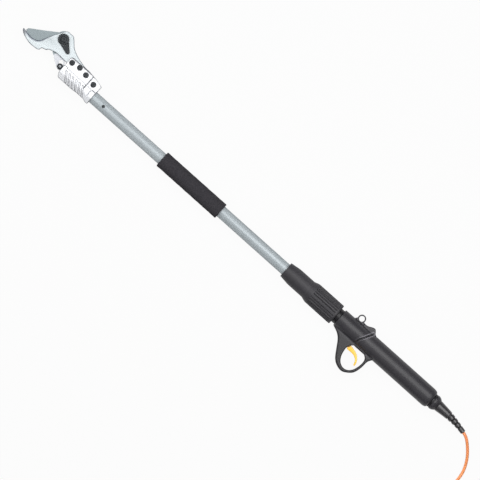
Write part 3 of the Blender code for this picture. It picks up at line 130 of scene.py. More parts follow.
def smooth_line(points: Sequence[Sequence[float]], steps: int = 5) -> list[tuple[float, ...]]:
    """Runs a smooth open curve through points of two or three coordinates.

    Args:
        points: the points that the curve passes
        steps: how many stretches lie between two of them

    Returns:
        The curve's points, with the given ones among them.
    """
    path = [Vector(point) for point in points]
    path = [path[0] * 2 - path[1], *path, path[-1] * 2 - path[-2]]
    made: list[Vector] = []
    for before, start, end, after in zip(path, path[1:], path[2:], path[3:]):
        for i in range(steps):
            t = i / steps
            bent = 2 * start + (end - before) * t
            bent += (2 * before - 5 * start + 4 * end - after) * t**2
            bent += (3 * start - before - 3 * end + after) * t**3
            made.append(bent / 2)
    return [tuple(point) for point in (*made, path[-2])]


def inset(outline: Outline, distance: float | Callable[[Point], float]) -> Outline:
    """Moves each point of a closed outline inwards.

    Args:
        outline: the closed outline
        distance: how far, or a rule that gives it for a point; below zero is outwards

    Returns:
        The moved outline, point for point.
    """
    pairs = zip(outline, outline[1:] + outline[:1])
    turn = 1 if sum(a[0] * b[1] - b[0] * a[1] for a, b in pairs) > 0 else -1
    moved = []
    for i, point in enumerate(outline):
        reach = distance(point) if callable(distance) else distance
        along = Vector(outline[(i + 1) % len(outline)]) - Vector(outline[i - 1])
        along.normalize()
        moved.append((point[0] - along.y * reach * turn, point[1] + along.x * reach * turn))
    return moved


# Making pieces


@dataclass
class Bench:
    """Makes closed pieces with Blender's operators, from millimetres in the tool's frame."""

    origin: Vector

    def at(self, x: float, y: float, z: float = 0.0) -> Vector:
        """Gives the place in the world, in metres, of a point in the tool's frame."""
        return self.origin + Vector((x, y, z)) * MM

    def clear(self) -> None:
        """Leaves nothing selected."""
        for item in list(bpy.context.selected_objects):
            item.select_set(False)

    def pick(self, piece: Piece) -> None:
        """Selects one piece alone and makes it the active one.

        Args:
            piece: the piece
        """
        self.clear()
        piece.select_set(True)
        bpy.context.view_layer.objects.active = piece

    @contextmanager
    def editing(self, piece: Piece) -> Iterator[None]:
        """Opens a piece's mesh for the operators that follow, and closes it after them.

        Args:
            piece: the piece

        Yields:
            Nothing, while the mesh is open.
        """
        self.pick(piece)
        bpy.ops.object.mode_set(mode="EDIT")
        yield
        bpy.ops.object.mode_set(mode="OBJECT")

    def ring(self, name: str, points: Sequence[Vector], filled: bool) -> Piece:
        """Adds a circle with a vertex for each point and puts the vertices in their places.

        Args:
            name: the piece's name
            points: where the vertices go, in metres
            filled: whether the ring gets a face

        Returns:
            The new piece, with its object at the origin.
        """
        self.clear()
        fill = "NGON" if filled else "NOTHING"
        bpy.ops.mesh.primitive_circle_add(vertices=len(points), radius=1.0, fill_type=fill)
        piece = bpy.context.object
        piece.name = piece.data.name = name
        for corner, point in zip(piece.data.vertices, points):
            corner.co = point
        return piece

    def close(self, piece: Piece) -> Piece:
        """Merges a piece's doubles and turns its faces outwards.

        Args:
            piece: the piece

        Returns:
            The same piece.
        """
        with self.editing(piece):
            bpy.ops.mesh.select_all(action="SELECT")
            bpy.ops.mesh.remove_doubles(threshold=1e-6)
            bpy.ops.mesh.normals_make_consistent(inside=False)
        return piece

    def stack(self, name: str, levels: Sequence[tuple[float, Outline]], axis: Axis = Axis.Z) -> Piece:
        """Extrudes an outline from level to level, with its corners moved at each level.

        Args:
            name: the piece's name
            levels: each level with its outline, all with the same number of points
            axis: the axis that the levels lie along

        Returns:
            The closed piece.
        """
        along, across, up = axis.value
        rings = [
            [self.origin + (across * a + up * b + along * level) * MM for a, b in outline]
            for level, outline in levels
        ]
        piece = self.ring(name, rings[0], True)
        for (low, _), (high, _), below, above in zip(levels, levels[1:], rings, rings[1:]):
            lift = along * (high - low) * MM
            with self.editing(piece):
                bpy.ops.mesh.select_mode(type="FACE")
                bpy.ops.mesh.extrude_region_move(TRANSFORM_OT_translate={"value": lift})
            for corner in piece.data.vertices:
                if corner.select:
                    place = corner.co - lift
                    nearest = min(range(len(below)), key=lambda i: (below[i] - place).length)
                    corner.co = above[nearest]
        return self.close(piece)

    def slab(self, name: str, outline: Outline, low: float, high: float) -> Piece:
        """Makes a plate of one outline between two heights."""
        return self.stack(name, [(low, outline), (high, outline)])

    def block(self, low: Spot, high: Spot) -> Piece:
        """Makes a block as a helper.

        Args:
            low: its lowest corner
            high: its highest corner

        Returns:
            The block.
        """
        start, end = self.at(*low), self.at(*high)
        self.clear()
        bpy.ops.mesh.primitive_cube_add(size=1.0, location=(start + end) / 2, scale=end - start)
        bpy.ops.object.transform_apply(location=True, rotation=True, scale=True)
        return bpy.context.object

    def turned(
        self,
        name: str,
        profile: Sequence[Point],
        axis: Axis = Axis.X,
        centre: Point | Spot = (0.0, 0.0),
        steps: int = FINE,
    ) -> Piece:
        """Spins a closed profile about an axis.

        Args:
            name: the piece's name
            profile: points as (distance along the axis, radius)
            axis: the axis of the spin
            centre: a point on that axis
            steps: how many steps make the full turn

        Returns:
            The closed piece.
        """
        along, across, _ = axis.value
        middle = self.at(*centre)
        points = [middle + (along * place + across * radius) * MM for place, radius in profile]
        piece = self.ring(name, points, False)
        for corner in piece.data.vertices:
            corner.select = False
        for edge in piece.data.edges:
            edge.select = all(profile[i][1] == 0 for i in edge.vertices)
        with self.editing(piece):
            bpy.ops.mesh.select_mode(type="EDGE")
            bpy.ops.mesh.delete(type="EDGE_FACE")
            bpy.ops.mesh.select_all(action="SELECT")
            bpy.ops.mesh.spin(steps=steps, angle=2 * math.pi, center=middle, axis=along)
        return self.close(piece)

    def rod(
        self,
        low: float,
        high: float,
        radius: float,
        centre: Point | Spot = (0.0, 0.0),
        axis: Axis = Axis.Z,
        steps: int = SMALL,
    ) -> Piece:
        """Makes a plain round helper from one place to another along an axis."""
        profile = [(low, 0.0), (low, radius), (high, radius), (high, 0.0)]
        return self.turned("rod", profile, axis, centre, steps)

    def apply(self, piece: Piece, kind: str, **settings: object) -> Piece:
        """Gives a piece a modifier and applies it.

        Args:
            piece: the piece
            kind: the modifier's type
            settings: its settings by name

        Returns:
            The same piece.
        """
        modifier = piece.modifiers.new(kind.lower(), kind)
        for setting, value in settings.items():
            setattr(modifier, setting, value)
        self.pick(piece)
        bpy.ops.object.modifier_apply(modifier=modifier.name)
        return piece

    def combine(
        self, piece: Piece, *helpers: Piece, way: Way = Way.CUT, solver: Solver = Solver.CAREFUL
    ) -> Piece:
        """Cuts helpers from a piece, joins them on or keeps what is shared, and removes them.

        Args:
            piece: the piece
            helpers: the shapes that change it
            way: what the helpers do
            solver: the boolean solver

        Returns:
            The changed piece.
        """
        for helper in helpers:
            self.apply(piece, "BOOLEAN", operation=way.value, solver=solver.value, object=helper)
            bpy.data.objects.remove(helper, do_unlink=True)
        return piece

    def bevel(self, piece: Piece, width: float, segments: int, angle: float) -> Piece:
        """Rounds the edges sharper than an angle, by a width and in a number of faces."""
        limit = {"limit_method": "ANGLE", "angle_limit": math.radians(angle)}
        return self.apply(piece, "BEVEL", width=width * MM, segments=segments, **limit)

    def soften(self, piece: Piece, grain: float, rounds: int) -> None:
        """Rounds all edges of a cast or moulded piece by an even mesh that is then relaxed.

        Args:
            piece: the closed piece
            grain: the even mesh's face size
            rounds: how often it is relaxed
        """
        self.apply(piece, "REMESH", mode="VOXEL", voxel_size=grain * MM)
        self.apply(piece, "SMOOTH", factor=0.5, iterations=rounds)

    def mark(self, piece: Piece, rule: Callable[[Vector, Vector], Pair]) -> Piece:
        """Paints shade and highlights on each place of a piece's mesh as a mark, and lifts it away from
        the X axis.

        Args:
            piece: the piece
            rule: gives a place's mark, from -1 for a painted highlight to 1 for painted shade,
            and its lift, from the place in the tool's frame and its normal

        Returns:
            The same piece.
        """
        corners = piece.data.vertices
        places = [((corner.co - self.origin) / MM, corner.normal.copy()) for corner in corners]
        marks = piece.data.attributes.new(PAINTED_LIGHT, "FLOAT", "POINT")
        for corner, mark, (place, normal) in zip(corners, marks.data, places):
            mark.value, lift = rule(place, normal)
            if lift:
                corner.co += Vector((0.0, place.y, place.z)).normalized() * lift * MM
        return piece

    def again(self, piece: Piece, name: str, shift: Spot) -> Piece:
        """Copies a finished piece to another place, with its own mesh.

        Args:
            piece: the piece to copy
            name: the copy's name
            shift: how far away the copy lies

        Returns:
            The copy.
        """
        self.pick(piece)
        bpy.ops.object.duplicate(linked=False)
        copy = bpy.context.object
        copy.name = copy.data.name = name
        with self.editing(copy):
            bpy.ops.mesh.select_all(action="SELECT")
            bpy.ops.transform.translate(value=Vector(shift) * MM)
        return copy


# Shader groups


class Wiring:
    """Adds nodes to a tree and joins their sockets."""

    def __init__(self, tree: bpy.types.NodeTree) -> None:
        """Takes the tree to work on."""
        self.tree = tree

    def feed(self, node: Node, inputs: dict[str | int, object]) -> Node:
        """Sets a node's inputs.

        Args:
            node: the node
            inputs: a value or another node's output for each named or numbered input

        Returns:
            The same node.
        """
        for key, value in inputs.items():
            if isinstance(value, Socket):
                self.tree.links.new(value, node.inputs[key])
            else:
                node.inputs[key].default_value = value
        return node

    def add(self, kind: str, inputs: dict[str | int, object] | None = None, **settings: object) -> Node:
        """Adds a node.

        Args:
            kind: the node's type, without the words that all types start with
            inputs: a value or another node's output for each named or numbered input
            settings: the node's own settings

        Returns:
            The node.
        """
        node = self.tree.nodes.new(f"ShaderNode{kind}")
        for setting, value in settings.items():
            setattr(node, setting, value)
        return self.feed(node, inputs or {})

    def math(self, operation: str, first: object, second: object) -> Socket:
        """Adds a math node and gives its result."""
        return self.add("Math", {0: first, 1: second}, operation=operation).outputs[0]

    def spread(self, value: object, low: float, high: float) -> Socket:
        """Maps a value from 0..1 to low..high."""
        return self.add("MapRange", {"Value": value, "To Min": low, "To Max": high}).outputs[0]

    def blend(self, share: object, first: object, second: object) -> Socket:
        """Mixes two colours by a share."""
        return self.add("Mix", {"Factor": share, 6: first, 7: second}, data_type="RGBA").outputs[2]

    def noise(self, place: Socket, scale: object, detail: float) -> Socket:
        """Gives a noise at a place."""
        inputs = {"Vector": place, "Scale": scale, "Detail": detail}
        return self.add("TexNoise", inputs).outputs["Fac"]

    def place(self) -> Socket:
        """Gives the place on the piece, in metres."""
        return self.add("TexCoord").outputs["Object"]

    def facing(self) -> Socket:
        """Gives the surface's own normal."""
        return self.add("NewGeometry").outputs["Normal"]

    def parts(self, vector: Socket) -> Sequence[Socket]:
        """Gives the coordinates of a vector, by the names of their axes."""
        return self.add("SeparateXYZ", {"Vector": vector}).outputs


@dataclass(frozen=True)
class Effect:
    """A shader group that several finishes share, made once."""

    name: str
    inputs: dict[str, object]
    outputs: tuple[str, ...]
    fill: Callable[[Wiring, Node], Sequence[Socket]]

    def group(self) -> bpy.types.NodeTree:
        """Makes the group the first time that it is asked for.

        Returns:
            The group.
        """
        made = bpy.data.node_groups.get(self.name)
        if made:
            return made
        made = bpy.data.node_groups.new(self.name, "ShaderNodeTree")
        for name, value in self.inputs.items():
            kind = "NodeSocketVector" if isinstance(value, tuple) else "NodeSocketFloat"
            made.interface.new_socket(name, in_out="INPUT", socket_type=kind).default_value = value
        for name in self.outputs:
            made.interface.new_socket(name, in_out="OUTPUT", socket_type="NodeSocketFloat")
        wiring = Wiring(made)
        results = self.fill(wiring, made.nodes.new("NodeGroupInput"))
        wiring.feed(made.nodes.new("NodeGroupOutput"), dict(zip(self.outputs, results)))
        return made

    def add(self, wiring: Wiring, *values: object) -> Sequence[Socket]:
        """Places the group in a material with that material's own values, and gives its results."""
        return wiring.add("Group", dict(zip(self.inputs, values)), node_tree=self.group()).outputs


def fill_grain(wiring: Wiring, given: Node) -> list[Socket]:
    """A fine surface grain, with slow patches of a lighter and a darker tone.

    Args:
        wiring: the group's wiring
        given: the group's input node

    Returns:
        The grain and the patches.
    """
    stretch = {"Vector": wiring.place(), "Scale": given.outputs["Stretch"]}
    pulled = wiring.add("Mapping", stretch).outputs[0]
    scales = (("Scale", 3.0), ("Patch scale", 2.0))
    return [wiring.noise(pulled, given.outputs[scale], detail) for scale, detail in scales]


def fill_edge_mask(wiring: Wiring, given: Node) -> list[Socket]:
    """A mask of edges within reach, broken up so that it is uneven: wear on most finishes, painted edge
    shade on some.

    Args:
        wiring: the group's wiring
        given: the group's input node

    Returns:
        The mask.
    """
    rounded = wiring.add("Bevel", {"Radius": given.outputs["Reach"]}, samples=3).outputs[0]
    dot = wiring.add("VectorMath", {0: rounded, 1: wiring.facing()}, operation="DOT_PRODUCT")
    edge = wiring.math("SUBTRACT", 1.0, dot.outputs["Value"])
    edge = wiring.math("MULTIPLY", edge, given.outputs["Strength"])
    broken = wiring.noise(wiring.place(), scale=420.0, detail=3.0)
    broken = wiring.spread(broken, low=-0.4, high=1.5)
    return [wiring.add("Math", {0: edge, 1: broken}, operation="MULTIPLY", use_clamp=True).outputs[0]]


def fill_cells(wiring: Wiring, given: Node) -> list[Socket]:
    """The closed cells of a foam skin, as rounded bumps with pits between them.

    Args:
        wiring: the group's wiring
        given: the group's input node

    Returns:
        The height and the pits.
    """
    place = wiring.place()
    cells = wiring.add("TexVoronoi", {"Vector": place, "Scale": given.outputs["Scale"]})
    pits = wiring.noise(place, scale=260.0, detail=4.0)
    bump = wiring.math("SUBTRACT", 1.0, cells.outputs["Distance"])
    return [wiring.math("ADD", bump, pits), pits]


def fill_dust(wiring: Wiring, given: Node) -> list[Socket]:
    """A thin dust in loose clouds, thicker where the surface faces up.

    Args:
        wiring: the group's wiring
        given: the group's input node

    Returns:
        The mask.
    """
    up = wiring.spread(wiring.parts(wiring.facing())["Z"], low=0.3, high=1.0)
    cloud = wiring.noise(wiring.place(), scale=38.0, detail=6.0)
    cloud = wiring.math("MULTIPLY", cloud, up)
    return [wiring.math("MULTIPLY", cloud, given.outputs["Amount"])]


SCALES = {"Scale": 1500.0, "Patch scale": 30.0, "Stretch": (1.0, 1.0, 1.0)}
GRAIN = Effect("surface_grain", SCALES, ("Grain", "Patches"), fill_grain)
EDGE_WEAR_AND_LIGHT = Effect("edge_wear_and_painted_light", {"Reach": 0.0006, "Strength": 4.0}, ("Mask",), fill_edge_mask)
CELLS = Effect("foam_cells", {"Scale": 900.0}, ("Height", "Pits"), fill_cells)
DUST = Effect("thin_dust", {"Amount": 0.1}, ("Mask",), fill_dust)


# Finishes


@dataclass(frozen=True)
class Tone:
    """A colour as it shows on a screen, with parts from 0 to 255."""

    red: float
    green: float
    blue: float

    def linear(self) -> tuple[float, float, float, float]:
        """Gives the colour as shaders take it."""
        parts = [part / 255 for part in (self.red, self.green, self.blue)]
        return (*(p / 12.92 if p <= 0.04045 else ((p + 0.055) / 1.055) ** 2.4 for p in parts), 1.0)


def new_material(name: str) -> tuple[bpy.types.Material, Wiring, Node]:
    """Makes a material with nodes.

    Args:
        name: the material's name

    Returns:
        The material, its wiring and its shader.
    """
    made = bpy.data.materials.new(name)
    made.use_nodes = True
    return made, Wiring(made.node_tree), made.node_tree.nodes["Principled BSDF"]


@dataclass(frozen=True)
class Finish:
    """A finish with a fine grain, uneven tone and an edge tone: wear on most finishes, painted shade on
    some.
    """

    name: str
    slot: str
    tone: Tone
    shade: Tone
    # The edge tone: wear on most finishes, painted edge shade on the cast housing and the hook plate,
    # and a painted highlight where the mark is below zero
    wear_and_painted_light: Tone
    metal: float = 0.0
    # The lowest and the highest roughness
    rough: Pair = (0.4, 0.55)
    grain: float = 1500.0
    patches: float = 30.0
    stretch: Triple = (1.0, 1.0, 1.0)
    relief: float = 0.02
    wear: float = 3.0
    reach: float = 0.6
    dust: float = 0.0
    coat: float = 0.0
    specular: float = 0.5
    # The mark's tone: painted shade where the mark is above zero
    deep: Tone = Tone(16, 16, 18)
    dusty: Tone = Tone(168, 164, 155)

    def material(self) -> bpy.types.Material:
        """Makes the finish's material the first time that it is asked for.

        Returns:
            The material.
        """
        made = bpy.data.materials.get(self.name)
        if made:
            return made
        made, wiring, shader = new_material(self.name)
        made.diffuse_color = self.tone.linear()
        plain = {"Metallic": self.metal, "Specular IOR Level": self.specular}
        coat = {"Coat Weight": self.coat, "Coat Roughness": 0.2}
        wiring.feed(shader, plain | coat | self.surface(wiring))
        return made

    def height(self, wiring: Wiring) -> Sequence[Socket]:
        """Gives the surface's fine height and its slow patches."""
        return GRAIN.add(wiring, self.grain, self.patches, self.stretch)

    def tint(self, wiring: Wiring, colour: Socket) -> Socket:
        """Gives the colour as it is, where a finish has a single one."""
        return colour

    def surface(self, wiring: Wiring) -> dict[str, Socket]:
        """Makes the colour, the roughness and the bump.

        Args:
            wiring: the material's wiring

        Returns:
            What the shader's inputs take.
        """
        grain, patches = self.height(wiring)
        mottle = wiring.spread(patches, low=-0.6, high=1.6)
        mottle = wiring.add("Clamp", {"Value": mottle}).outputs[0]
        colour = wiring.blend(mottle, self.tone.linear(), self.shade.linear())
        colour = self.tint(wiring, colour)
        # Edges take the edge tone: wear on most finishes, painted edge shade on the cast housing and
        # the hook plate
        edges = EDGE_WEAR_AND_LIGHT.add(wiring, self.reach * MM, self.wear)[0]
        colour = wiring.blend(edges, colour, self.wear_and_painted_light.linear())
        if self.dust:
            colour = wiring.blend(DUST.add(wiring, self.dust)[0], colour, self.dusty.linear())
        # The mark paints shade with the mark's tone where it is above zero, and paints highlights with
        # the edge tone where it is below
        hollow = wiring.add("Attribute", attribute_name=PAINTED_LIGHT).outputs["Fac"]
        colour = wiring.blend(hollow, colour, self.deep.linear())
        lip = wiring.math("MULTIPLY", hollow, -1.0)
        bump = {"Height": grain, "Distance": self.relief * MM, "Strength": 0.6}
        return {
            "Base Color": wiring.blend(lip, colour, self.wear_and_painted_light.linear()),
            "Roughness": wiring.spread(grain, *self.rough),
            "Normal": wiring.add("Bump", bump).outputs[0],
        }


@dataclass(frozen=True)
class PartedFinish(Finish):
    """A finish with another tone ahead of a slanting line, and a soft passage between them."""

    ahead: Tone = Tone(150, 150, 150)
    # The line's place along the tool, at the world's Y = 0, and its slant
    line: Pair = (0.0, 0.0)
    passage: float = 3.0

    def tint(self, wiring: Wiring, colour: Socket) -> Socket:
        """Changes the tone of what lies ahead of the line, by its place on the piece.

        Args:
            wiring: the material's wiring
            colour: the colour behind the line

        Returns:
            The colour on both sides of the line.
        """
        place = wiring.parts(wiring.place())
        slant = wiring.math("MULTIPLY", place["Y"], self.line[1])
        reach = wiring.math("SUBTRACT", place["X"], slant)
        start = tool_origin().x + self.line[0] * MM
        ends = {"Value": reach, "From Min": start, "From Max": start + self.passage * MM}
        return wiring.blend(wiring.add("MapRange", ends).outputs[0], colour, self.ahead.linear())


@dataclass(frozen=True)
class FoamFinish(Finish):
    """A foam skin, whose height comes from its cells."""

    def height(self, wiring: Wiring) -> Sequence[Socket]:
        """Gives the height of the cells and the pits between them."""
        return CELLS.add(wiring, self.grain)


# Its dark grey edge tone, wide reach and dark mark tone paint shade as dark lines along the housing's
# edges
CAST = Finish(
    "satin_cast_aluminium", "cast", Tone(232, 233, 236), Tone(226, 228, 232), Tone(104, 106, 112),
    metal=0.1, rough=(0.34, 0.48), grain=1300.0, relief=0.012, wear=7.0, reach=2.2,
    deep=Tone(100, 102, 107),
)
# Its darker edge tone paints shade along the plate's edges, and its dark blue-grey mark tone paints
# shade on the steep edge inside the hook
PLATED = PartedFinish(
    "plated_hook_steel", "plate", Tone(190, 197, 200), Tone(180, 188, 191), Tone(150, 158, 162),
    metal=0.25, rough=(0.32, 0.42), grain=2200.0, stretch=(0.25, 1.0, 1.0), relief=0.006,
    reach=1.2, deep=Tone(104, 110, 122), ahead=Tone(104, 107, 112), line=(197.0, 0.0), passage=10.0,
)
GROUND = PartedFinish(
    "ground_blade_steel", "blade", Tone(176, 178, 182), Tone(168, 170, 175), Tone(112, 119, 126),
    metal=0.6, rough=(0.34, 0.44), grain=2600.0, stretch=(1.0, 0.12, 1.0), relief=0.012, wear=2.0,
    ahead=Tone(116, 125, 128), line=(133.5, 0.45),
)
# Its lighter edge tone is wear on blacked steel, and also a painted highlight that brings out the nut's
# notches
BLACKED = Finish(
    "blacked_steel", "black_steel", Tone(38, 42, 45), Tone(29, 32, 35), Tone(120, 124, 128),
    metal=0.6, rough=(0.3, 0.5), grain=1800.0, wear=2.6, reach=0.5,
)
BRIGHT = Finish(
    "bright_steel", "steel", Tone(160, 163, 166), Tone(144, 148, 152), Tone(196, 199, 202),
    metal=0.95, rough=(0.32, 0.44), grain=2200.0, relief=0.01,
)
PIN_STEEL = replace(
    BRIGHT, name="pin_steel", tone=Tone(128, 131, 134), shade=Tone(112, 115, 118), rough=(0.4, 0.5)
)
DRAWN = Finish(
    "drawn_pole_aluminium", "tube", Tone(180, 188, 192), Tone(156, 164, 168), Tone(206, 212, 216),
    metal=0.25, rough=(0.5, 0.58), grain=1200.0, patches=130.0, stretch=(0.02, 1.0, 1.0),
    relief=0.002, wear=2.0,
)
FOAM = FoamFinish(
    "black_foam_sleeve", "foam", Tone(58, 56, 60), Tone(46, 45, 49), Tone(68, 66, 70),
    rough=(0.82, 0.98), grain=950.0, relief=0.3, wear=0.5, specular=0.2,
)
# Its lighter edge tone gives edges lightened by wear, and is the painted highlight on the handle's lips
# and round the guard's hole
MOULDED = Finish(
    "moulded_black_nylon", "plastic", Tone(52, 51, 56), Tone(44, 43, 48), Tone(128, 126, 132),
    rough=(0.3, 0.44), grain=2100.0, patches=18.0, wear=0.9, reach=0.9, dust=0.04, specular=0.36,
)
MATT = replace(MOULDED, name="matt_collar_nylon", rough=(0.46, 0.6))
# Darker than the moulding: on the neck this is painted shade in its gap behind the collar; the gland's
# flange takes the same darker tone
DARKENED_NYLON = replace(
    MOULDED, name="darkened_nylon", tone=Tone(24, 23, 28), shade=Tone(19, 18, 22), dust=0.0
)
AMBER = Finish(
    "amber_trigger_nylon", "amber", Tone(255, 206, 70), Tone(250, 192, 52), Tone(255, 226, 140),
    rough=(0.28, 0.42), grain=1600.0, relief=0.015, wear=1.0, coat=0.2,
)
SHEATH = Finish(
    "coral_cord_sheath", "cord", Tone(254, 170, 106), Tone(250, 148, 94), Tone(255, 196, 150),
    rough=(0.36, 0.5), grain=1900.0, patches=22.0, wear=0.4,
)
BRASS = Finish(
    "turned_brass", "brass", Tone(204, 172, 104), Tone(186, 152, 84), Tone(232, 206, 150),
    metal=1.0, rough=(0.22, 0.36), relief=0.01,
)
BOARD = Finish(
    "green_circuit_board", "board", Tone(38, 112, 70), Tone(28, 92, 56), Tone(196, 168, 96),
    rough=(0.36, 0.5), grain=900.0,
)
RUBBER = Finish(
    "black_rubber", "rubber", Tone(47, 46, 50), Tone(40, 39, 43), Tone(84, 83, 88),
    rough=(0.2, 0.3), specular=0.65, grain=1700.0, relief=0.04, wear=1.0, dust=0.06,
)


@dataclass
class Assembly:
    """A group of pieces that one bench makes."""

    bench: Bench

    def fit(
        self, piece: Piece, finish: Finish, *nodes: str, body: Body = Body.TOOL, angle: float = 30.0
    ) -> Piece:
        """Shades and finishes a piece, and lets it stand for CAD nodes on a moving body.

        Args:
            piece: the piece
            finish: its finish
            nodes: the CAD nodes that it stands for
            body: the body that it moves with
            angle: the least angle, in degrees, of an edge that stays sharp

        Returns:
            The same piece.
        """
        faces = 0
        if piece.type == "MESH":
            self.bench.pick(piece)
            bpy.ops.object.shade_smooth_by_angle(angle=math.radians(angle))
            faces = len(piece.data.polygons)
        piece.data.materials.clear()
        piece.data.materials.append(finish.material())
        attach(piece, body.value)
        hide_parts(*nodes)
        log.info("%s: %s, %d faces", type(self).__name__, piece.name, faces)
        return piece

    def dress(self, finish: Finish, *nodes: str) -> None:
        """Gives kept CAD nodes a better material.

        Args:
            finish: the finish
            nodes: the nodes' names
        """
        for node in nodes:
            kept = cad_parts[node]
            if not kept.material_slots:
                kept.data.materials.append(None)
            for slot in kept.material_slots:
                slot.material = finish.material()
            log.info("%s: %s kept, in %s", type(self).__name__, node, finish.name)


# Studio


@dataclass
class Studio:
    """The floor, the world, the lamps and the camera, with their places in metres."""

    middle: Point = (-0.0082, 0.0119)
    turned: float = 221.79
    mid_plane: float = 0.0255
    distance: float = 12.0
    lens: float = 409.1
    floor_size: float = 60.0
    whiteness: float = 0.95
    horizon: float = 0.04
    zenith: float = 0.6
    darkest: float = 0.25

    def build(self) -> None:
        """Makes the whole studio."""
        self.add_camera()
        self.add_floor()
        self.light_world()
        self.add_lamp(
            "long_softbox", place=(-0.1, -0.44, 1.55), aim=(-0.1, 0.0, 0.0), size=(2.4, 1.2), watts=28.0
        )
        self.add_lamp(
            "side_strip", place=(1.6, 0.3, 1.1), aim=(0.2, 0.0, 0.0), size=(0.5, 0.9), watts=9.0
        )
        bpy.context.scene.view_settings.view_transform = "Standard"
        log.info("Studio: camera %.0f mm, floor, world and two lamps", self.lens)

    def add_camera(self) -> None:
        """Looks straight down with a long lens, turned as the photograph is."""
        place = (*self.middle, self.mid_plane + self.distance)
        turn = (0.0, 0.0, math.radians(self.turned))
        bpy.ops.object.camera_add(location=place, rotation=turn)
        camera = bpy.context.object
        camera.name = "studio_camera"
        camera.data.lens = self.lens
        camera.data.sensor_width = 36.0
        camera.data.clip_end = 100.0
        bpy.context.scene.camera = camera

    def add_floor(self) -> None:
        """Lays a pale floor, white to the eye, that keeps the shadow and is clear from below."""
        bpy.ops.mesh.primitive_plane_add(size=self.floor_size, location=(0.0, 0.0, 0.0))
        floor = bpy.context.object
        floor.name = "studio_floor"
        made, wiring, shader = new_material("pale_floor")
        pale = Tone(180, 180, 180).linear()
        wiring.feed(shader, {"Base Color": pale, "Roughness": 0.9, "Specular IOR Level": 0.0})
        white = wiring.add("Emission", {"Color": WHITE, "Strength": 1.0}).outputs[0]
        share = wiring.math("MULTIPLY", self.seen(wiring), self.whiteness)
        upper = wiring.add("MixShader", {0: share, 1: shader.outputs[0], 2: white}).outputs[0]
        below = wiring.add("NewGeometry").outputs["Backfacing"]
        clear = wiring.add("BsdfTransparent").outputs[0]
        sided = wiring.add("MixShader", {0: below, 1: upper, 2: clear}).outputs[0]
        wiring.feed(made.node_tree.nodes["Material Output"], {"Surface": sided})
        floor.data.materials.append(made)

    def seen(self, wiring: Wiring) -> Socket:
        """Tells the rays that reach the eye, straight or by metal or glass.

        Args:
            wiring: the floor's wiring

        Returns:
            A socket that is 1 for those rays and 0 for others.
        """
        rays = wiring.add("LightPath").outputs
        glossy = wiring.math("MAXIMUM", rays["Is Camera Ray"], rays["Is Glossy Ray"])
        return wiring.math("MAXIMUM", glossy, rays["Is Transmission Ray"])

    def light_world(self) -> None:
        """Lights from all sides, most from straight above and below."""
        world = bpy.context.scene.world or bpy.data.worlds.new("studio_world")
        bpy.context.scene.world = world
        world.use_nodes = True
        wiring = Wiring(world.node_tree)
        up = wiring.parts(wiring.add("TexCoord").outputs["Generated"])["Z"]
        steep = wiring.math("MAXIMUM", up, wiring.math("MULTIPLY", up, -1.0))
        high = wiring.add("MapRange", {"Value": steep, "From Min": self.darkest}).outputs[0]
        dome = wiring.spread(high, self.horizon, self.zenith)
        wiring.feed(world.node_tree.nodes["Background"], {"Color": WHITE, "Strength": dome})

    def add_lamp(self, name: str, place: Spot, aim: Spot, size: Pair, watts: float) -> None:
        """Hangs a soft rectangular lamp.

        Args:
            name: the lamp's name
            place: where it hangs, in metres
            aim: what it points at, in metres
            size: its two sides, in metres
            watts: its power
        """
        bpy.ops.object.light_add(type="AREA", location=place)
        lamp = bpy.context.object
        lamp.name = name
        lamp.rotation_euler = (Vector(aim) - Vector(place)).to_track_quat("-Z", "Y").to_euler()
        lamp.data.shape = "RECTANGLE"
        lamp.data.size, lamp.data.size_y = size
        lamp.data.energy = watts


# Cord


HANDLE_FRONT = -727.8
HANDLE_END = -1000.0


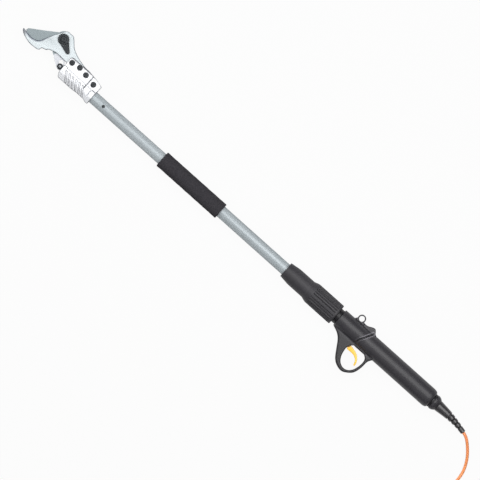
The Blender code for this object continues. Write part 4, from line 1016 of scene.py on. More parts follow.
@dataclass
class Lead(Assembly):
    """The coral lead: its free run, its stored coil and its plug."""

    radius: float = 3.45
    floor: float = -25.5
    boot_length: float = 99.1
    bend_start: float = 35.0
    bend: float = 0.00175
    coil_radius: float = 48.0
    coil_pitch: float = 7.3
    coil_turns: float = 5.5
    coil_layer: float = 7.1
    coil_steps: int = 24
    plug_radius: float = 9.0
    plug_length: float = 42.0
    plug_recess: float = 10.0
    plug_neck: float = 4.6
    pin_root: float = 6.0
    pin_radius: float = 1.2
    pin_side: float = 3.2

    @property
    def level(self) -> float:
        """The height of the cord's centre where it lies on the floor."""
        return self.floor + self.radius

    def boot_spot(self, distance: float) -> Vector:
        """The boot's centreline at a distance behind the handle's end."""
        past = max(0.0, distance - self.bend_start)
        return Vector((HANDLE_END - distance, self.bend * past**2, 0.0))

    def free_run(self) -> list[Spot]:
        """The chosen points from the boot to the coil, dropping to the floor.

        Returns:
            The points in the tool's frame.
        """
        run = [
            (-106.8, 9.4, -0.3),
            (-115.6, 14.4, -1.8),
            (-128.4, 25.6, -6.6),
            (-141.4, 40.3, -12.8),
            (-151.6, 57.0, -18.2),
            (-158.0, 74.0, self.level + 0.8),
            (-160.4, 92.0, self.level),
            (-160.5, 112.0, self.level),
            (-160.5, 133.0, self.level),
        ]
        start = tuple(self.boot_spot(self.boot_length + GAP))
        return [start] + [(HANDLE_END + x, y, z) for x, y, z in run]

    def coil(self, start: Spot) -> list[Spot]:
        """Turns that spiral in on the floor and out again a layer higher.

        Args:
            start: where the free run ends

        Returns:
            The points of the coil with a short straight at each end.
        """
        straight = 2 * self.radius
        centre = (start[0] - self.coil_radius, start[1] + straight + GAP)
        steps = int(self.coil_turns * self.coil_steps)
        points = []
        for i in range(steps + 1):
            turn = self.coil_turns * i / steps
            depth = min(turn, self.coil_turns - turn)
            climb = min(max((turn - self.coil_turns / 2) * 2 + 0.5, 0.0), 1.0)
            x, y = spoke(centre, self.coil_radius - self.coil_pitch * depth, 360 * turn)
            points.append((x, y, self.level + self.coil_layer * climb))
        x, y, z = points[-1]
        return [*points, (x, y - straight, z)]

    def tail(self, start: Spot) -> list[Spot]:
        """The chosen points from the coil's end to the plug, which lies on the floor.

        Args:
            start: the coil's end

        Returns:
            The points in the tool's frame.
        """
        (x, y, z), low = start, self.floor + self.plug_radius
        ends = [(x - 1, y - 34.3, low), (x - 2, y - 52.3, low), (x - 2, y - 62.3, low)]
        return [start, (x, y - 14.3, z - 0.3), *ends]

    def route(self) -> list[Spot]:
        """The whole centreline from the boot to the plug.

        Returns:
            The points in the tool's frame.
        """
        run = [(x, y, max(z, self.level)) for x, y, z in smooth_line(self.free_run(), 2)]
        coil = self.coil(run[-1])
        return run + coil + smooth_line(self.tail(coil[-1]), 2)[1:]

    def build(self) -> None:
        route = self.route()
        x, y, z = route[-1]
        plug = self.make_plug((x, y - GAP, z))
        pins = self.make_pins((x, y - GAP, z))
        cord = self.make_cord([self.bench.at(*spot) for spot in route])
        tuple(self.bench.at(*route[0]))

    def make_cord(self, points: Sequence[Vector]) -> Piece:
        """Draws the cord as one round curve through its points.

        Args:
            points: the centreline, in metres

        Returns:
            The finished cord.
        """
        data = bpy.data.curves.new("coral_cord", "CURVE")
        data.dimensions = "3D"
        data.bevel_depth = self.radius * MM
        data.bevel_resolution = 5
        data.resolution_u = 6
        data.use_fill_caps = True
        line = data.splines.new("BEZIER")
        line.bezier_points.add(len(points) - 1)
        for knot, point in zip(line.bezier_points, points):
            knot.co = point
            knot.handle_left_type = knot.handle_right_type = "AUTO"
        cord = bpy.data.objects.new("coral_cord", data)
        bpy.context.scene.collection.objects.link(cord)
        return self.fit(cord, SHEATH, "cord_lead", "cord_coil", "cord_tail")

    def make_plug(self, start: Spot) -> Piece:
        """Turns a moulded plug with a ribbed neck and an open rim.

        Args:
            start: where its neck begins

        Returns:
            The finished plug.
        """
        neck = self.plug_neck
        profile = [(0.0, 0.0), (0.0, neck - 0.4), (-0.4, neck)]
        for i in range(3):
            low = neck + 0.4 * i
            mark = -1.8 - 4 * i
            profile += [(mark, low), (mark - 0.5, low + 1.2), (mark - 1.0, low + 1.5)]
            profile += [(mark - 2.0, low + 1.2), (mark - 3.0, low)]
        radius = self.plug_radius
        wide, rim, inner = radius - 0.1, radius - 0.7, radius - 1.4
        tip = -self.plug_length
        well = tip + self.plug_recess
        profile += [(-14.0, radius - 1.8), (-15.0, radius - 1.0), (-16.5, wide), (-20.0, wide)]
        profile += [(-20.6, rim), (-21.4, rim), (-22.0, wide), (tip + 1, wide), (tip, rim)]
        profile += [(tip, inner), (well, inner), (well, 0.0)]
        plug = self.bench.turned("moulded_plug", profile, Axis.Y, start, SMALL)
        bore = (well + self.pin_root + GAP, well - 5, self.pin_radius + GAP)
        for side in (-self.pin_side, self.pin_side):
            spot = (start[0] + side, *start[1:])
            self.bench.combine(plug, self.bench.rod(*bore, spot, Axis.Y, TINY))
        return self.fit(plug, RUBBER, "plug_body", angle=40)

    def make_pins(self, start: Spot) -> list[Piece]:
        """Turns one contact pin and copies it.

        Args:
            start: where the plug's neck begins

        Returns:
            Both pins.
        """
        tip = -self.plug_length + 1.8
        back = -self.plug_length + self.plug_recess + self.pin_root
        radius = self.pin_radius
        profile = [(back, 0.0), (back, radius), (tip + 1.2, radius), (tip + 0.4, radius - 0.4)]
        profile += [(tip, radius - 0.8), (tip, 0.0)]
        spot = (start[0] - self.pin_side, *start[1:])
        first = self.bench.turned("contact_pin_1", profile, Axis.Y, spot, TINY)
        second = self.bench.again(first, "contact_pin_2", (2 * self.pin_side, 0, 0))
        pins = ((first, "plug_pin_1"), (second, "plug_pin_2"))
        return [self.fit(pin, BRASS, node, angle=40) for pin, node in pins]


# Screws


@dataclass
class SocketScrew(Assembly):
    """A cap screw along Z with a hexagon socket in its head."""

    # The head's radius and height
    head: Pair = (5.9, 3.6)
    shank: float = 2.5
    seat: float = 11.4
    tip: float = -12.0
    socket: float = 2.1

    def make(self, name: str, spot: Point) -> Piece:
        """Turns the screw and sinks its socket.

        Args:
            name: the screw's name
            spot: where it stands

        Returns:
            The screw without a finish.
        """
        radius, height = self.head
        away = 1 if self.seat > self.tip else -1
        top = self.seat + away * height
        lip = 0.16 * height
        under = self.seat - away * 0.4
        profile = [(self.tip, 0.0), (self.tip, self.shank - 0.4)]
        profile += [(self.tip + away * 0.4, self.shank), (under, self.shank)]
        profile += [(self.seat, self.shank), (self.seat, radius), (top - away * lip, radius)]
        profile += [(top - away * 0.3 * lip, radius - 0.3 * lip), (top, radius - lip), (top, 0.0)]
        screw = self.bench.turned(name, profile, Axis.Z, spot, SMALL)
        low, high = sorted((top - away * 0.6 * height, top + away * 1.0))
        hole = self.bench.slab("socket", polygon(spot, self.socket), low, high)
        return self.bench.combine(screw, hole)


# Cutting head


PIVOT = (132.0, -51.7)
PIN = (98.6, -2.0)
BLADE_HALF = 2.5
PLATE_LOW = BLADE_HALF + GAP
PLATE_HIGH = PLATE_LOW + 6.0
PLATE_REAR = 28.7
PLATE_SEAT = -17.8
SLIT = 27.7
SCREW_FACE = PLATE_HIGH + 6.2
SCREW_HOLE = 2.8
HOUSING_SCREWS = ((83.6, -25.7), (63.6, -28.8), (42.9, -25.5))
CLAMP_SPOT = (16.7, -20.7)
TUBE_RADIUS = 14.0
TUBE_FRONT = 20.0


@dataclass
class CuttingHead(Assembly):
    """The hook plate, the blade, their pivot with its lock, and the crosshead's pin."""

    hub_radius: float = 18.5
    tail_half: float = 8.3
    pin_radius: float = 3.5
    ring_radius: float = 6.6
    grind: float = 6.0
    nut_radius: float = 12.9
    nut_height: float = 5.4
    notches: int = 18
    notch_depth: float = 0.7
    lock_spot: Point = (106.7, -36.3)
    lock_height: float = 3.0
    lock_end: float = 4.6
    lock_hole: float = 1.9
    shank: float = 7.0
    bolt_head: float = 11.0
    slot_lag: float = 1.9
    # Where the ground band starts and ends along the tool
    band: Pair = (160.0, 209.0)
    band_side: float = -6.5
    bolt_socket: float = 2.6
    spanner_angles: Pair = (68.0, 248.0)
    spanner_reach: float = 9.6
    spanner_hole: float = 1.1
    fork_half: float = 8.0
    dimple: float = 1.0

    def build(self) -> None:
        """Makes every piece of the head that swings, holds or slides."""
        self.make_hook_plate()
        self.make_blade()
        self.make_pivot_bolt()
        self.make_pivot_nut()
        self.make_lock()
        self.make_pin()

    def plate_outline(self) -> Outline:
        """The hook plate's outline, from the hook's tip round by the scallop and the tail.

        Returns:
            The closed outline.
        """
        outer = [(214.9, -11.0), (211.6, -5.9), (200.6, 0.0), (182.8, 4.6), (162.6, 3.7)]
        scallop = [(157.5, 1.2), (155.6, -5.0), (150.7, -7.0), (145.6, -8.8), (140.6, -13.6)]
        tail = [(112.0, PLATE_SEAT - 0.6), (95.0, PLATE_SEAT), (PLATE_REAR, PLATE_SEAT)]
        tail += [(PLATE_REAR, -34.9)]
        back = [(44.0, -37.2), (57.6, -37.8), (81.4, -43.6), (99.9, -52.4), (112.6, -65.1)]
        crest = [(118.4, -70.6), (120.6, -71.5), (133.4, -71.5), (136.6, -70.8), (141.4, -66.4)]
        crest += [(145.0, -61.4)]
        throat = [(148.6, -55.6), (155.2, -43.8), (159.6, -35.0), (163.9, -26.4), (167.6, -18.7)]
        hook = [(172.7, -12.8), (178.6, -9.9), (189.6, -7.7), (200.6, -9.4), (213.4, -12.2)]
        outline = smooth_line(outer) + smooth_line([*scallop, (125.4, -18.7)]) + tail
        return outline + smooth_line(back) + crest + smooth_line(throat + hook)

    def banded(self, point: Sequence[float]) -> float:
        """Tells how much of the ground band a point of the outline carries.

        Args:
            point: the point

        Returns:
            The share, from 0 to 1.
        """
        share = (point[0] - self.band[0]) / (self.band[1] - self.band[0])
        inside = 0 < share < 1 and point[1] < self.band_side
        return math.sin(math.pi * share) ** 0.6 if inside else 0.0

    def plate_edge_painted_shade(self, spot: Vector, normal: Vector) -> Pair:
        """Paints shade on the steep edge inside the hook, and a thin line of painted shade round the
        rest.
        """
        low = PLATE_LOW + 1 if self.banded(spot) else PLATE_HIGH - 1.5
        return float(low < spot.z < PLATE_HIGH - 0.4), 0.0

    def make_hook_plate(self) -> None:
        """Forges the hook plate, with a steep edge and a wide ground band along its inside, and paints
        shade along that edge.
        """
        outline = self.plate_outline()
        edge = inset(outline, lambda point: 0.35 + 1.1 * self.banded(point))
        band = inset(outline, lambda point: 1.7 + 3.6 * self.banded(point))
        levels = [(PLATE_LOW, outline), (PLATE_HIGH - 2.4, outline)]
        levels += [(PLATE_HIGH - 0.8, edge), (PLATE_HIGH, band)]
        plate = self.bench.stack("forged_hook_plate", levels)
        bores = [(self.shank + GAP, PIVOT), *((SCREW_HOLE, spot) for spot in HOUSING_SCREWS)]
        for radius, spot in (*bores, (self.lock_hole, self.lock_spot)):
            self.bench.combine(plate, self.bench.rod(-FAR, FAR, radius, spot))
        self.bench.mark(plate, self.plate_edge_painted_shade)
        self.fit(plate, PLATED, "hook_plate", angle=28)

    def blade_outlines(self) -> tuple[Outline, Outline]:
        """The blade's outline on its upper face, and on its lower face with the edge ground away.

        Returns:
            The upper and the lower outline, point for point.
        """
        edge = [(154.0, -25.0), (158.5, -16.5), (167.0, -7.8), (180.0, -3.2), (191.0, -3.0)]
        edge = smooth_line([*edge, (201.0, -6.6)])
        ground = []
        for i, (x, y) in enumerate(edge, 1):
            share = math.sin(math.pi * i / (len(edge) + 1))
            ground.append((x + self.grind * 0.25 * share, y - self.grind * share))
        back = [(208.3, -13.2), (206.5, -18.6)]
        back += smooth_line([(200.6, -22.9), (178.6, -37.2), (161.0, -49.5)])
        rear = math.degrees(math.atan2(PIVOT[0] - PIN[0], PIN[1] - PIVOT[1])) + 90
        lean = math.degrees(math.asin(self.tail_half / self.hub_radius))
        hub = arc(PIVOT, self.hub_radius, -18, rear + lean - 360, 30)
        tail = arc(PIN, self.tail_half, rear + 90, 56, 16)
        rest = back + hub + tail + [(133.8, -16.1), (147.5, -25.3)]
        return edge + rest, ground + rest

    def make_blade(self) -> None:
        """Grinds the blade from its two outlines and cuts its bore and its slot."""
        upper, lower = self.blade_outlines()
        levels = [(-BLADE_HALF, lower), (BLADE_HALF - 0.4, upper), (BLADE_HALF, upper)]
        blade = self.bench.stack("ground_blade", levels)
        bore = self.bench.rod(-FAR, FAR, self.shank + GAP, PIVOT)
        slot = self.bench.slab("tail_slot", self.tail_slot(), -FAR, FAR)
        self.bench.combine(blade, bore, slot)
        self.fit(blade, GROUND, "cutting_blade", body=Body.BLADE, angle=12)

    def tail_slot(self) -> Outline:
        """The slot that the crosshead's pin runs along.

        Returns:
            The slot's closed outline.
        """
        half = self.pin_radius + GAP + self.slot_lag / 2
        reach = Vector(PIN) - Vector(PIVOT)
        along = reach.normalized()
        base = Vector(PIVOT) + Vector((-along.y, along.x)) * self.slot_lag / 2
        heading = math.degrees(math.atan2(along.y, along.x))
        far = base + along * reach.length
        near = base + along * (PIN[1] - PIVOT[1])
        outer = arc(tuple(far), half, heading - 90, heading + 90, 14)
        return outer + arc(tuple(near), half, heading + 90, heading + 270, 14)

    def make_pivot_bolt(self) -> None:
        """Turns the pivot bolt, with a crown on its head and a hexagon socket in its end."""
        low = -BLADE_HALF - GAP
        end = PLATE_HIGH + GAP + self.nut_height - 0.1
        head, shank = self.bolt_head, self.shank
        profile = [(low - 6.0, 0.0), (low - 6.0, head - 2.0), (low - 5.6, head - 1.0)]
        profile += [(low - 4.8, head - 0.2), (low - 4.2, head), (low - 0.3, head), (low, head - 0.3)]
        profile += [(low, shank), (end - 0.9, shank), (end - 0.2, shank - 0.6), (end, shank - 1.2)]
        bolt = self.bench.turned("turned_pivot_bolt", [*profile, (end, 0.0)], Axis.Z, PIVOT)
        socket = self.bench.slab("bolt_socket", polygon(PIVOT, self.bolt_socket), end - 3.4, end + 2)
        self.fit(self.bench.combine(bolt, socket), BLACKED, "pivot_bolt")

    def notched_rim(self, inwards: float, depth: float) -> Outline:
        """The nut's notched rim, with six points to a notch.

        Args:
            inwards: how far inside the full radius the rim lies
            depth: how deep the notches are

        Returns:
            The rim's closed outline.
        """
        step = 360 / self.notches
        radius = self.nut_radius - inwards
        notch = ((0.0, 0), (0.14, 0), (0.28, 0), (0.38, 1), (0.62, 1), (0.72, 0))
        return [
            spoke(PIVOT, radius - depth * deep, (i + share) * step)
            for i in range(self.notches)
            for share, deep in notch
        ]

    def make_pivot_nut(self) -> None:
        """Makes the notched nut, with two pin holes for its spanner."""
        low = PLATE_HIGH + GAP
        high = low + self.nut_height
        deep = self.notch_depth
        levels = [(low, 0.3, deep), (low + 0.3, 0.0, deep), (high - 1.2, 0.0, deep)]
        levels += [(high - 0.4, 0.5, deep * 0.6), (high, 1.6, 0.0)]
        rims = [(level, self.notched_rim(inwards, depth)) for level, inwards, depth in levels]
        nut = self.bench.stack("notched_pivot_nut", rims)
        self.bench.combine(nut, self.bench.rod(-FAR, FAR, self.shank + GAP, PIVOT))
        for angle in self.spanner_angles:
            spot = spoke(PIVOT, self.spanner_reach, angle)
            hole = self.bench.rod(high - 2.0, high + 2.0, self.spanner_hole, spot)
            self.bench.combine(nut, hole)
        self.fit(nut, BLACKED, "pivot_nut")

    def make_lock(self) -> None:
        """Makes the teardrop plate that bites into the nut's rim, and its small screw."""
        low = PLATE_HIGH + GAP
        high = low + self.lock_height
        reach = Vector(self.lock_spot) - Vector(PIVOT)
        heading = math.degrees(math.atan2(reach.y, reach.x))
        bite = arc(PIVOT, self.nut_radius + GAP, heading - 48, heading + 48, 30)
        outline, crown = (
            bite + arc(self.lock_spot, end, heading + 74, heading - 74, 20)
            for end in (self.lock_end, self.lock_end - 0.6)
        )
        levels = [(low, outline), (high - 0.7, outline), (high, crown)]
        plate = self.bench.stack("teardrop_lock_plate", levels)
        self.bench.combine(plate, self.bench.rod(0.0, FAR, self.lock_hole, self.lock_spot))
        self.fit(plate, BLACKED, "lock_plate")
        seat, tip = high + GAP, PLATE_LOW + 0.5
        pattern = SocketScrew(
            self.bench, head=(2.9, 1.6), shank=1.6, seat=seat, tip=tip, socket=1.15
        )
        self.fit(pattern.make("small_lock_screw", self.lock_spot), BLACKED, "lock_screw")

    def make_pin(self) -> None:
        """Turns the crosshead's pin and the snap ring that holds it."""
        low = self.fork_half + GAP
        high = low + 2.0
        top = high + 0.6
        radius = self.pin_radius
        profile = [(-low - 2.7, 0.0), (-low - 2.7, 4.5), (-low - 2.2, 5.0), (-low, 5.0)]
        profile += [(-low, radius), (top - 0.6, radius), (top - 0.2, radius - 0.3)]
        profile += [(top, radius - 0.7), (top, 0.0)]
        pin = self.bench.turned("turned_crosshead_pin", profile, Axis.Z, PIN, SMALL)
        self.bench.combine(pin, self.bench.rod(top - 0.8, top + 2, self.dimple, PIN))
        self.fit(pin, PIN_STEEL, "crosshead_pin", body=Body.SLIDE)
        inner, outer = radius + GAP, self.ring_radius
        profile = [(low, inner + 0.2), (low, outer), (high - 0.7, outer), (high - 0.2, outer - 0.3)]
        profile += [(high, outer - 0.8), (high, inner + 0.5), (high - 0.4, inner)]
        profile += [(low + 0.2, inner)]
        ring = self.bench.turned("snap_ring", profile, Axis.Z, PIN, SMALL)
        self.fit(ring, BLACKED, "pin_ring", body=Body.SLIDE)


@dataclass
class HeadHousing(Assembly):
    """The two cast halves of the housing and the screws in them."""

    painted_rim_width: float = 1.7
    length: float = 92.8
    top: float = -36.3
    half: float = TUBE_RADIUS + 3.5
    rib_count: int = 6
    rib_pitch: float = 9.6
    rib_width: float = 3.8
    rib_height: float = 2.0
    slant: float = -14.5
    boss_length: float = 9.2
    bearing_length: float = 9.0
    bearing_radius: float = 11.3
    channel_half: float = 9.0
    screw_seat: float = SCREW_FACE - 3.9
    screw_head: float = 6.2
    screw_end: float = -12.5
    # Painted shade on a rounded edge: how steep the edge is where it starts, and over what it grows
    edge_shade: Pair = (0.22, 0.16)
    # How steep a wall is that carries none, and over what the painted shade fades there
    wall: Pair = (0.9, 0.1)
    # The most that the outline's rim is darkened by painted shade
    rim_painted_shade: float = 0.75
    skin_grain: float = 0.5

    def build(self) -> None:
        """Casts both halves and sets the four screws."""
        self.rim = self.trace_rim()
        for name, side in (("upper", 1), ("lower", -1)):
            half = self.make_half(f"cast_housing_{name}", side)
            self.fit(half, CAST, f"head_housing_{name}", angle=60)
        home = HOUSING_SCREWS[0]
        first = SocketScrew(self.bench).make("housing_cap_screw_1", home)
        self.fit(first, BLACKED, "housing_screw_1")
        others = (
            ("housing_cap_screw_2", "housing_screw_2", HOUSING_SCREWS[1]),
            ("housing_cap_screw_3", "housing_screw_3", HOUSING_SCREWS[2]),
            ("clamp_cap_screw", "clamp_screw", CLAMP_SPOT),
        )
        for name, node, (x, y) in others:
            screw = self.bench.again(first, name, (x - home[0], y - home[1], 0.0))
            self.fit(screw, BLACKED, node)

    def outline(self) -> Outline:
        """The housing's outline from above, from its rear corner round by the front.

        Returns:
            The closed outline.
        """
        low = TUBE_RADIUS + 4.9
        front, top = self.length, self.top
        upper = [(0.0, -28.8), (7.0, -30.6), (15.4, -32.8), (SLIT, -35.2), (40.0, top)]
        upper += [(front - 6.6, top), (front - 3.8, top + 0.7), (front - 1.6, -34.0)]
        upper += [(front - 0.3, -32.4), (front, -30.6)]
        lower = [(front, 5.9), (front - 0.5, 8.2), (front - 1.2, 10.4), (front - 2.0, 12.6)]
        lower += [(front - 3.4, 14.6), (front - 5.1, 17.2), (front - 7.2, low)]
        waist = [(58.0, low), (45.0, low - 0.3), (34.0, low - 1.4), (13.0, low - 1.4)]
        return upper + lower + smooth_line(waist, 4) + [(8.0, low + 1.0), (1.2, low + 1.2), (0.0, low)]

    def section(self, side: int, raised: float = 0.0) -> Piece:
        """The space inside half of the cross-section: a flat for the screws beside a crown.

        Args:
            side: 1 for the upper half and -1 for the lower
            raised: how much higher the crown and its slope lie, as on the ribs

        Returns:
            The space, as a helper that trims a piece.
        """
        top = self.half + raised
        flat = SCREW_FACE
        slope = TUBE_RADIUS + 7.0 + raised
        section = [(-FAR, 0.0), (-FAR, flat - 8.0), (self.top - 0.5, flat - 5.0)]
        section += [(-34.0, flat - 1.2), (-32.0, flat), (-11.5, flat), (-9.0, top - 0.6), (-7.6, top)]
        section += [(5.0, top), (7.5, top - 0.9), (slope, 6.6), (slope, 0.0)]
        outline = [(y, side * z) for y, z in section]
        return self.bench.stack("section", [(-5.0, outline), (self.length + 5, outline)], Axis.X)

    def rib(self, number: int, side: int) -> Piece:
        """Makes one slanting rib, trimmed to the raised section.

        Args:
            number: the rib's place from the front
            side: 1 for the upper half and -1 for the lower

        Returns:
            The rib.
        """
        x = self.length - 14.0 - number * self.rib_pitch
        end = x + self.slant
        width = self.rib_width
        outline = [(x, -5.0), (x + width, -5.0), (end + width, 17.0), (end, 17.0)]
        bar = self.bench.slab("rib", outline, *sorted((side * 4.0, side * FAR)))
        return self.bench.combine(bar, self.section(side, self.rib_height), way=Way.KEEP)

    def make_half(self, name: str, side: int) -> Piece:
        """Casts one half: outline, section, ribs and boss, then the rooms inside it.

        Args:
            name: the half's name
            side: 1 for the upper half, which carries the plate, and -1 for the lower

        Returns:
            The half without a finish.
        """
        bench = self.bench
        half = bench.slab(name, self.outline(), *sorted((side * GAP / 2, side * (self.half + 5))))
        bench.combine(half, self.section(side), way=Way.KEEP)
        for number in range(self.rib_count):
            bench.combine(half, self.rib(number, side), way=Way.JOIN)
        if side > 0:
            front = self.length - 0.4
            boss = bench.block((front - self.boss_length, -11.2, 10.0), (front, 2.2, self.half + 0.9))
            bench.combine(half, boss, way=Way.JOIN)
            corner = (FAR * 2, PLATE_SEAT + GAP, PLATE_HIGH + GAP)
            bench.combine(half, bench.block((PLATE_REAR - GAP, -FAR, -FAR), corner))
        else:
            corner = (self.length - 1, PLATE_SEAT, BLADE_HALF)
            pad = bench.block((PLATE_REAR, self.top + 0.8, -5.0), corner)
            bench.combine(half, pad, way=Way.JOIN)
        bench.combine(half, *self.rooms(side))
        bench.soften(half, self.skin_grain, 10)
        return bench.mark(half, self.painted_edge_shade)

    def painted_edge_shade(self, spot: Vector, normal: Vector) -> Pair:
        """Paints shade on the rounded edges and along the rim of the outline, as dark lines.

        Args:
            spot: a place on the half
            normal: its normal

        Returns:
            The place's mark, and no lift.
        """
        steep = 1.0 - abs(normal.z)
        (start, reach), (wall, fade) = self.edge_shade, self.wall
        rounded = max(0.0, min(1.0, (steep - start) / reach, (wall - steep) / fade))
        away = self.rim.find((spot.x, spot.y, 0.0))[2]
        rim = min(1.0 - away / self.painted_rim_width, 2.5 * abs(normal.z), self.rim_painted_shade)
        return max(rounded, rim), 0.0

    def trace_rim(self) -> KDTree:
        """Sets points closely along the outline, to tell how far a place lies from it.

        Returns:
            The points as a search tree.
        """
        outline = self.outline()
        dots = []
        for start, end in zip(outline, outline[1:] + outline[:1]):
            count = 1 + int(math.dist(start, end) / self.skin_grain)
            first, last = Vector((*start, 0.0)), Vector((*end, 0.0))
            dots += [first.lerp(last, i / count) for i in range(count)]
        tree = KDTree(len(dots))
        for i, dot in enumerate(dots):
            tree.insert(dot, i)
        tree.balance()
        return tree

    def rooms(self, side: int) -> list[Piece]:
        """The bore, the crosshead's channel and mouth, the upper half's grooves, the screw holes.

        Args:
            side: 1 for the upper half and -1 for the lower

        Returns:
            The cutters.
        """
        bench = self.bench
        seat = TUBE_RADIUS + GAP
        step = TUBE_FRONT + GAP
        front = step + self.bearing_length
        bearing = self.bearing_radius
        profile = [(-5.0, 0.0), (-5.0, seat), (step, seat), (step, bearing), (front, bearing)]
        profile += [(front, 0.0)]
        half = self.channel_half + GAP
        end = self.length + 5
        rooms = [bench.turned("bore", profile)]
        rooms += [bench.block((front - 0.5, -half, -half), (end, half, half))]
        rooms += [bench.block((self.length - 6.0, -10.5, -12.5), (end, 7.0, 12.5))]
        if side > 0:
            rooms += [bench.block((SLIT - 0.8, -FAR, SCREW_FACE - 3.0), (SLIT + 0.8, 0.5, FAR))]
            rooms += [bench.block((11.2, -9.4, self.half - 1.4), (12.6, 9.0, FAR))]
            rooms += [bench.block((-5.0, -10.8, SCREW_FACE - 1.4), (11.0, -9.6, FAR))]
        seat, head, low = self.screw_seat, self.screw_head, self.screw_end
        profile = [(low, 0.0), (low, SCREW_HOLE), (seat, SCREW_HOLE), (seat, head)]
        profile += [(FAR, head), (FAR, 0.0)]
        spots = (*HOUSING_SCREWS, CLAMP_SPOT)
        return rooms + [bench.turned("hole", profile, Axis.Z, spot, SMALL) for spot in spots]


# Pole and coupling


@dataclass
class Pole(Assembly):
    """The drawn tube, its small screw and the foam sleeve."""

    wall: float = 1.5
    rear: float = -704.0
    sleeve_start: float = 204.4
    sleeve_length: float = 173.1
    sleeve_thickness: float = 5.5
    sleeve_rounding: float = 1.8
    sleeve_steps: int = 60
    # Each faint wave of the sleeve: its height, its pace and where it starts
    waves: tuple[Triple, ...] = ((0.12, 40.0, 0.0), (0.08, 97.0, 1.0))
    screw_x: float = -31.5

    def build(self) -> None:
        """Makes the tube, its screw and the sleeve."""
        self.make_tube()
        tip = TUBE_RADIUS - self.wall - 4.0
        seat = TUBE_RADIUS + GAP
        pattern = SocketScrew(
            self.bench, head=(3.4, 1.8), shank=1.6, seat=seat, tip=tip, socket=1.3
        )
        self.fit(pattern.make("small_tube_screw", (self.screw_x, 0.0)), BLACKED, "tube_screw")
        self.make_sleeve()

    def make_tube(self) -> None:
        """Draws the tube, with eased ends and the screw's hole."""
        bore, outer, rear, front = TUBE_RADIUS - self.wall, TUBE_RADIUS, self.rear, TUBE_FRONT
        profile = [(rear, bore), (rear, outer - 0.3), (rear + 0.3, outer)]
        profile += [(rear + (front - rear) * i / 12, outer) for i in range(1, 12)]
        profile += [(front - 0.3, outer), (front, outer - 0.3), (front, bore)]
        tube = self.bench.turned("drawn_pole", profile)
        self.bench.combine(tube, self.bench.rod(8.0, FAR, 1.9, (self.screw_x, 0.0), steps=COARSE))
        self.fit(tube, DRAWN, "pole_tube")

    def make_sleeve(self) -> None:
        """Turns the foam sleeve, with soft ends and a hardly uneven surface."""
        outer = TUBE_RADIUS + self.sleeve_thickness
        inner = TUBE_RADIUS + GAP
        front = -self.sleeve_start
        rear = front - self.sleeve_length
        soft = self.sleeve_rounding
        profile = [(rear, inner)] + arc((rear + soft, outer - soft), soft, 180, 90, 6)
        for i in range(1, self.sleeve_steps):
            share = i / self.sleeve_steps
            sway = sum(height * math.sin(share * pace + lead) for height, pace, lead in self.waves)
            place = rear + soft + (self.sleeve_length - 2 * soft) * share
            profile.append((place, outer - 0.2 + sway))
        profile += arc((front - soft, outer - soft), soft, 90, 0, 6) + [(front, inner)]
        sleeve = self.fit(self.bench.turned("foam_grip_sleeve", profile), FOAM, "foam_sleeve", angle=50)


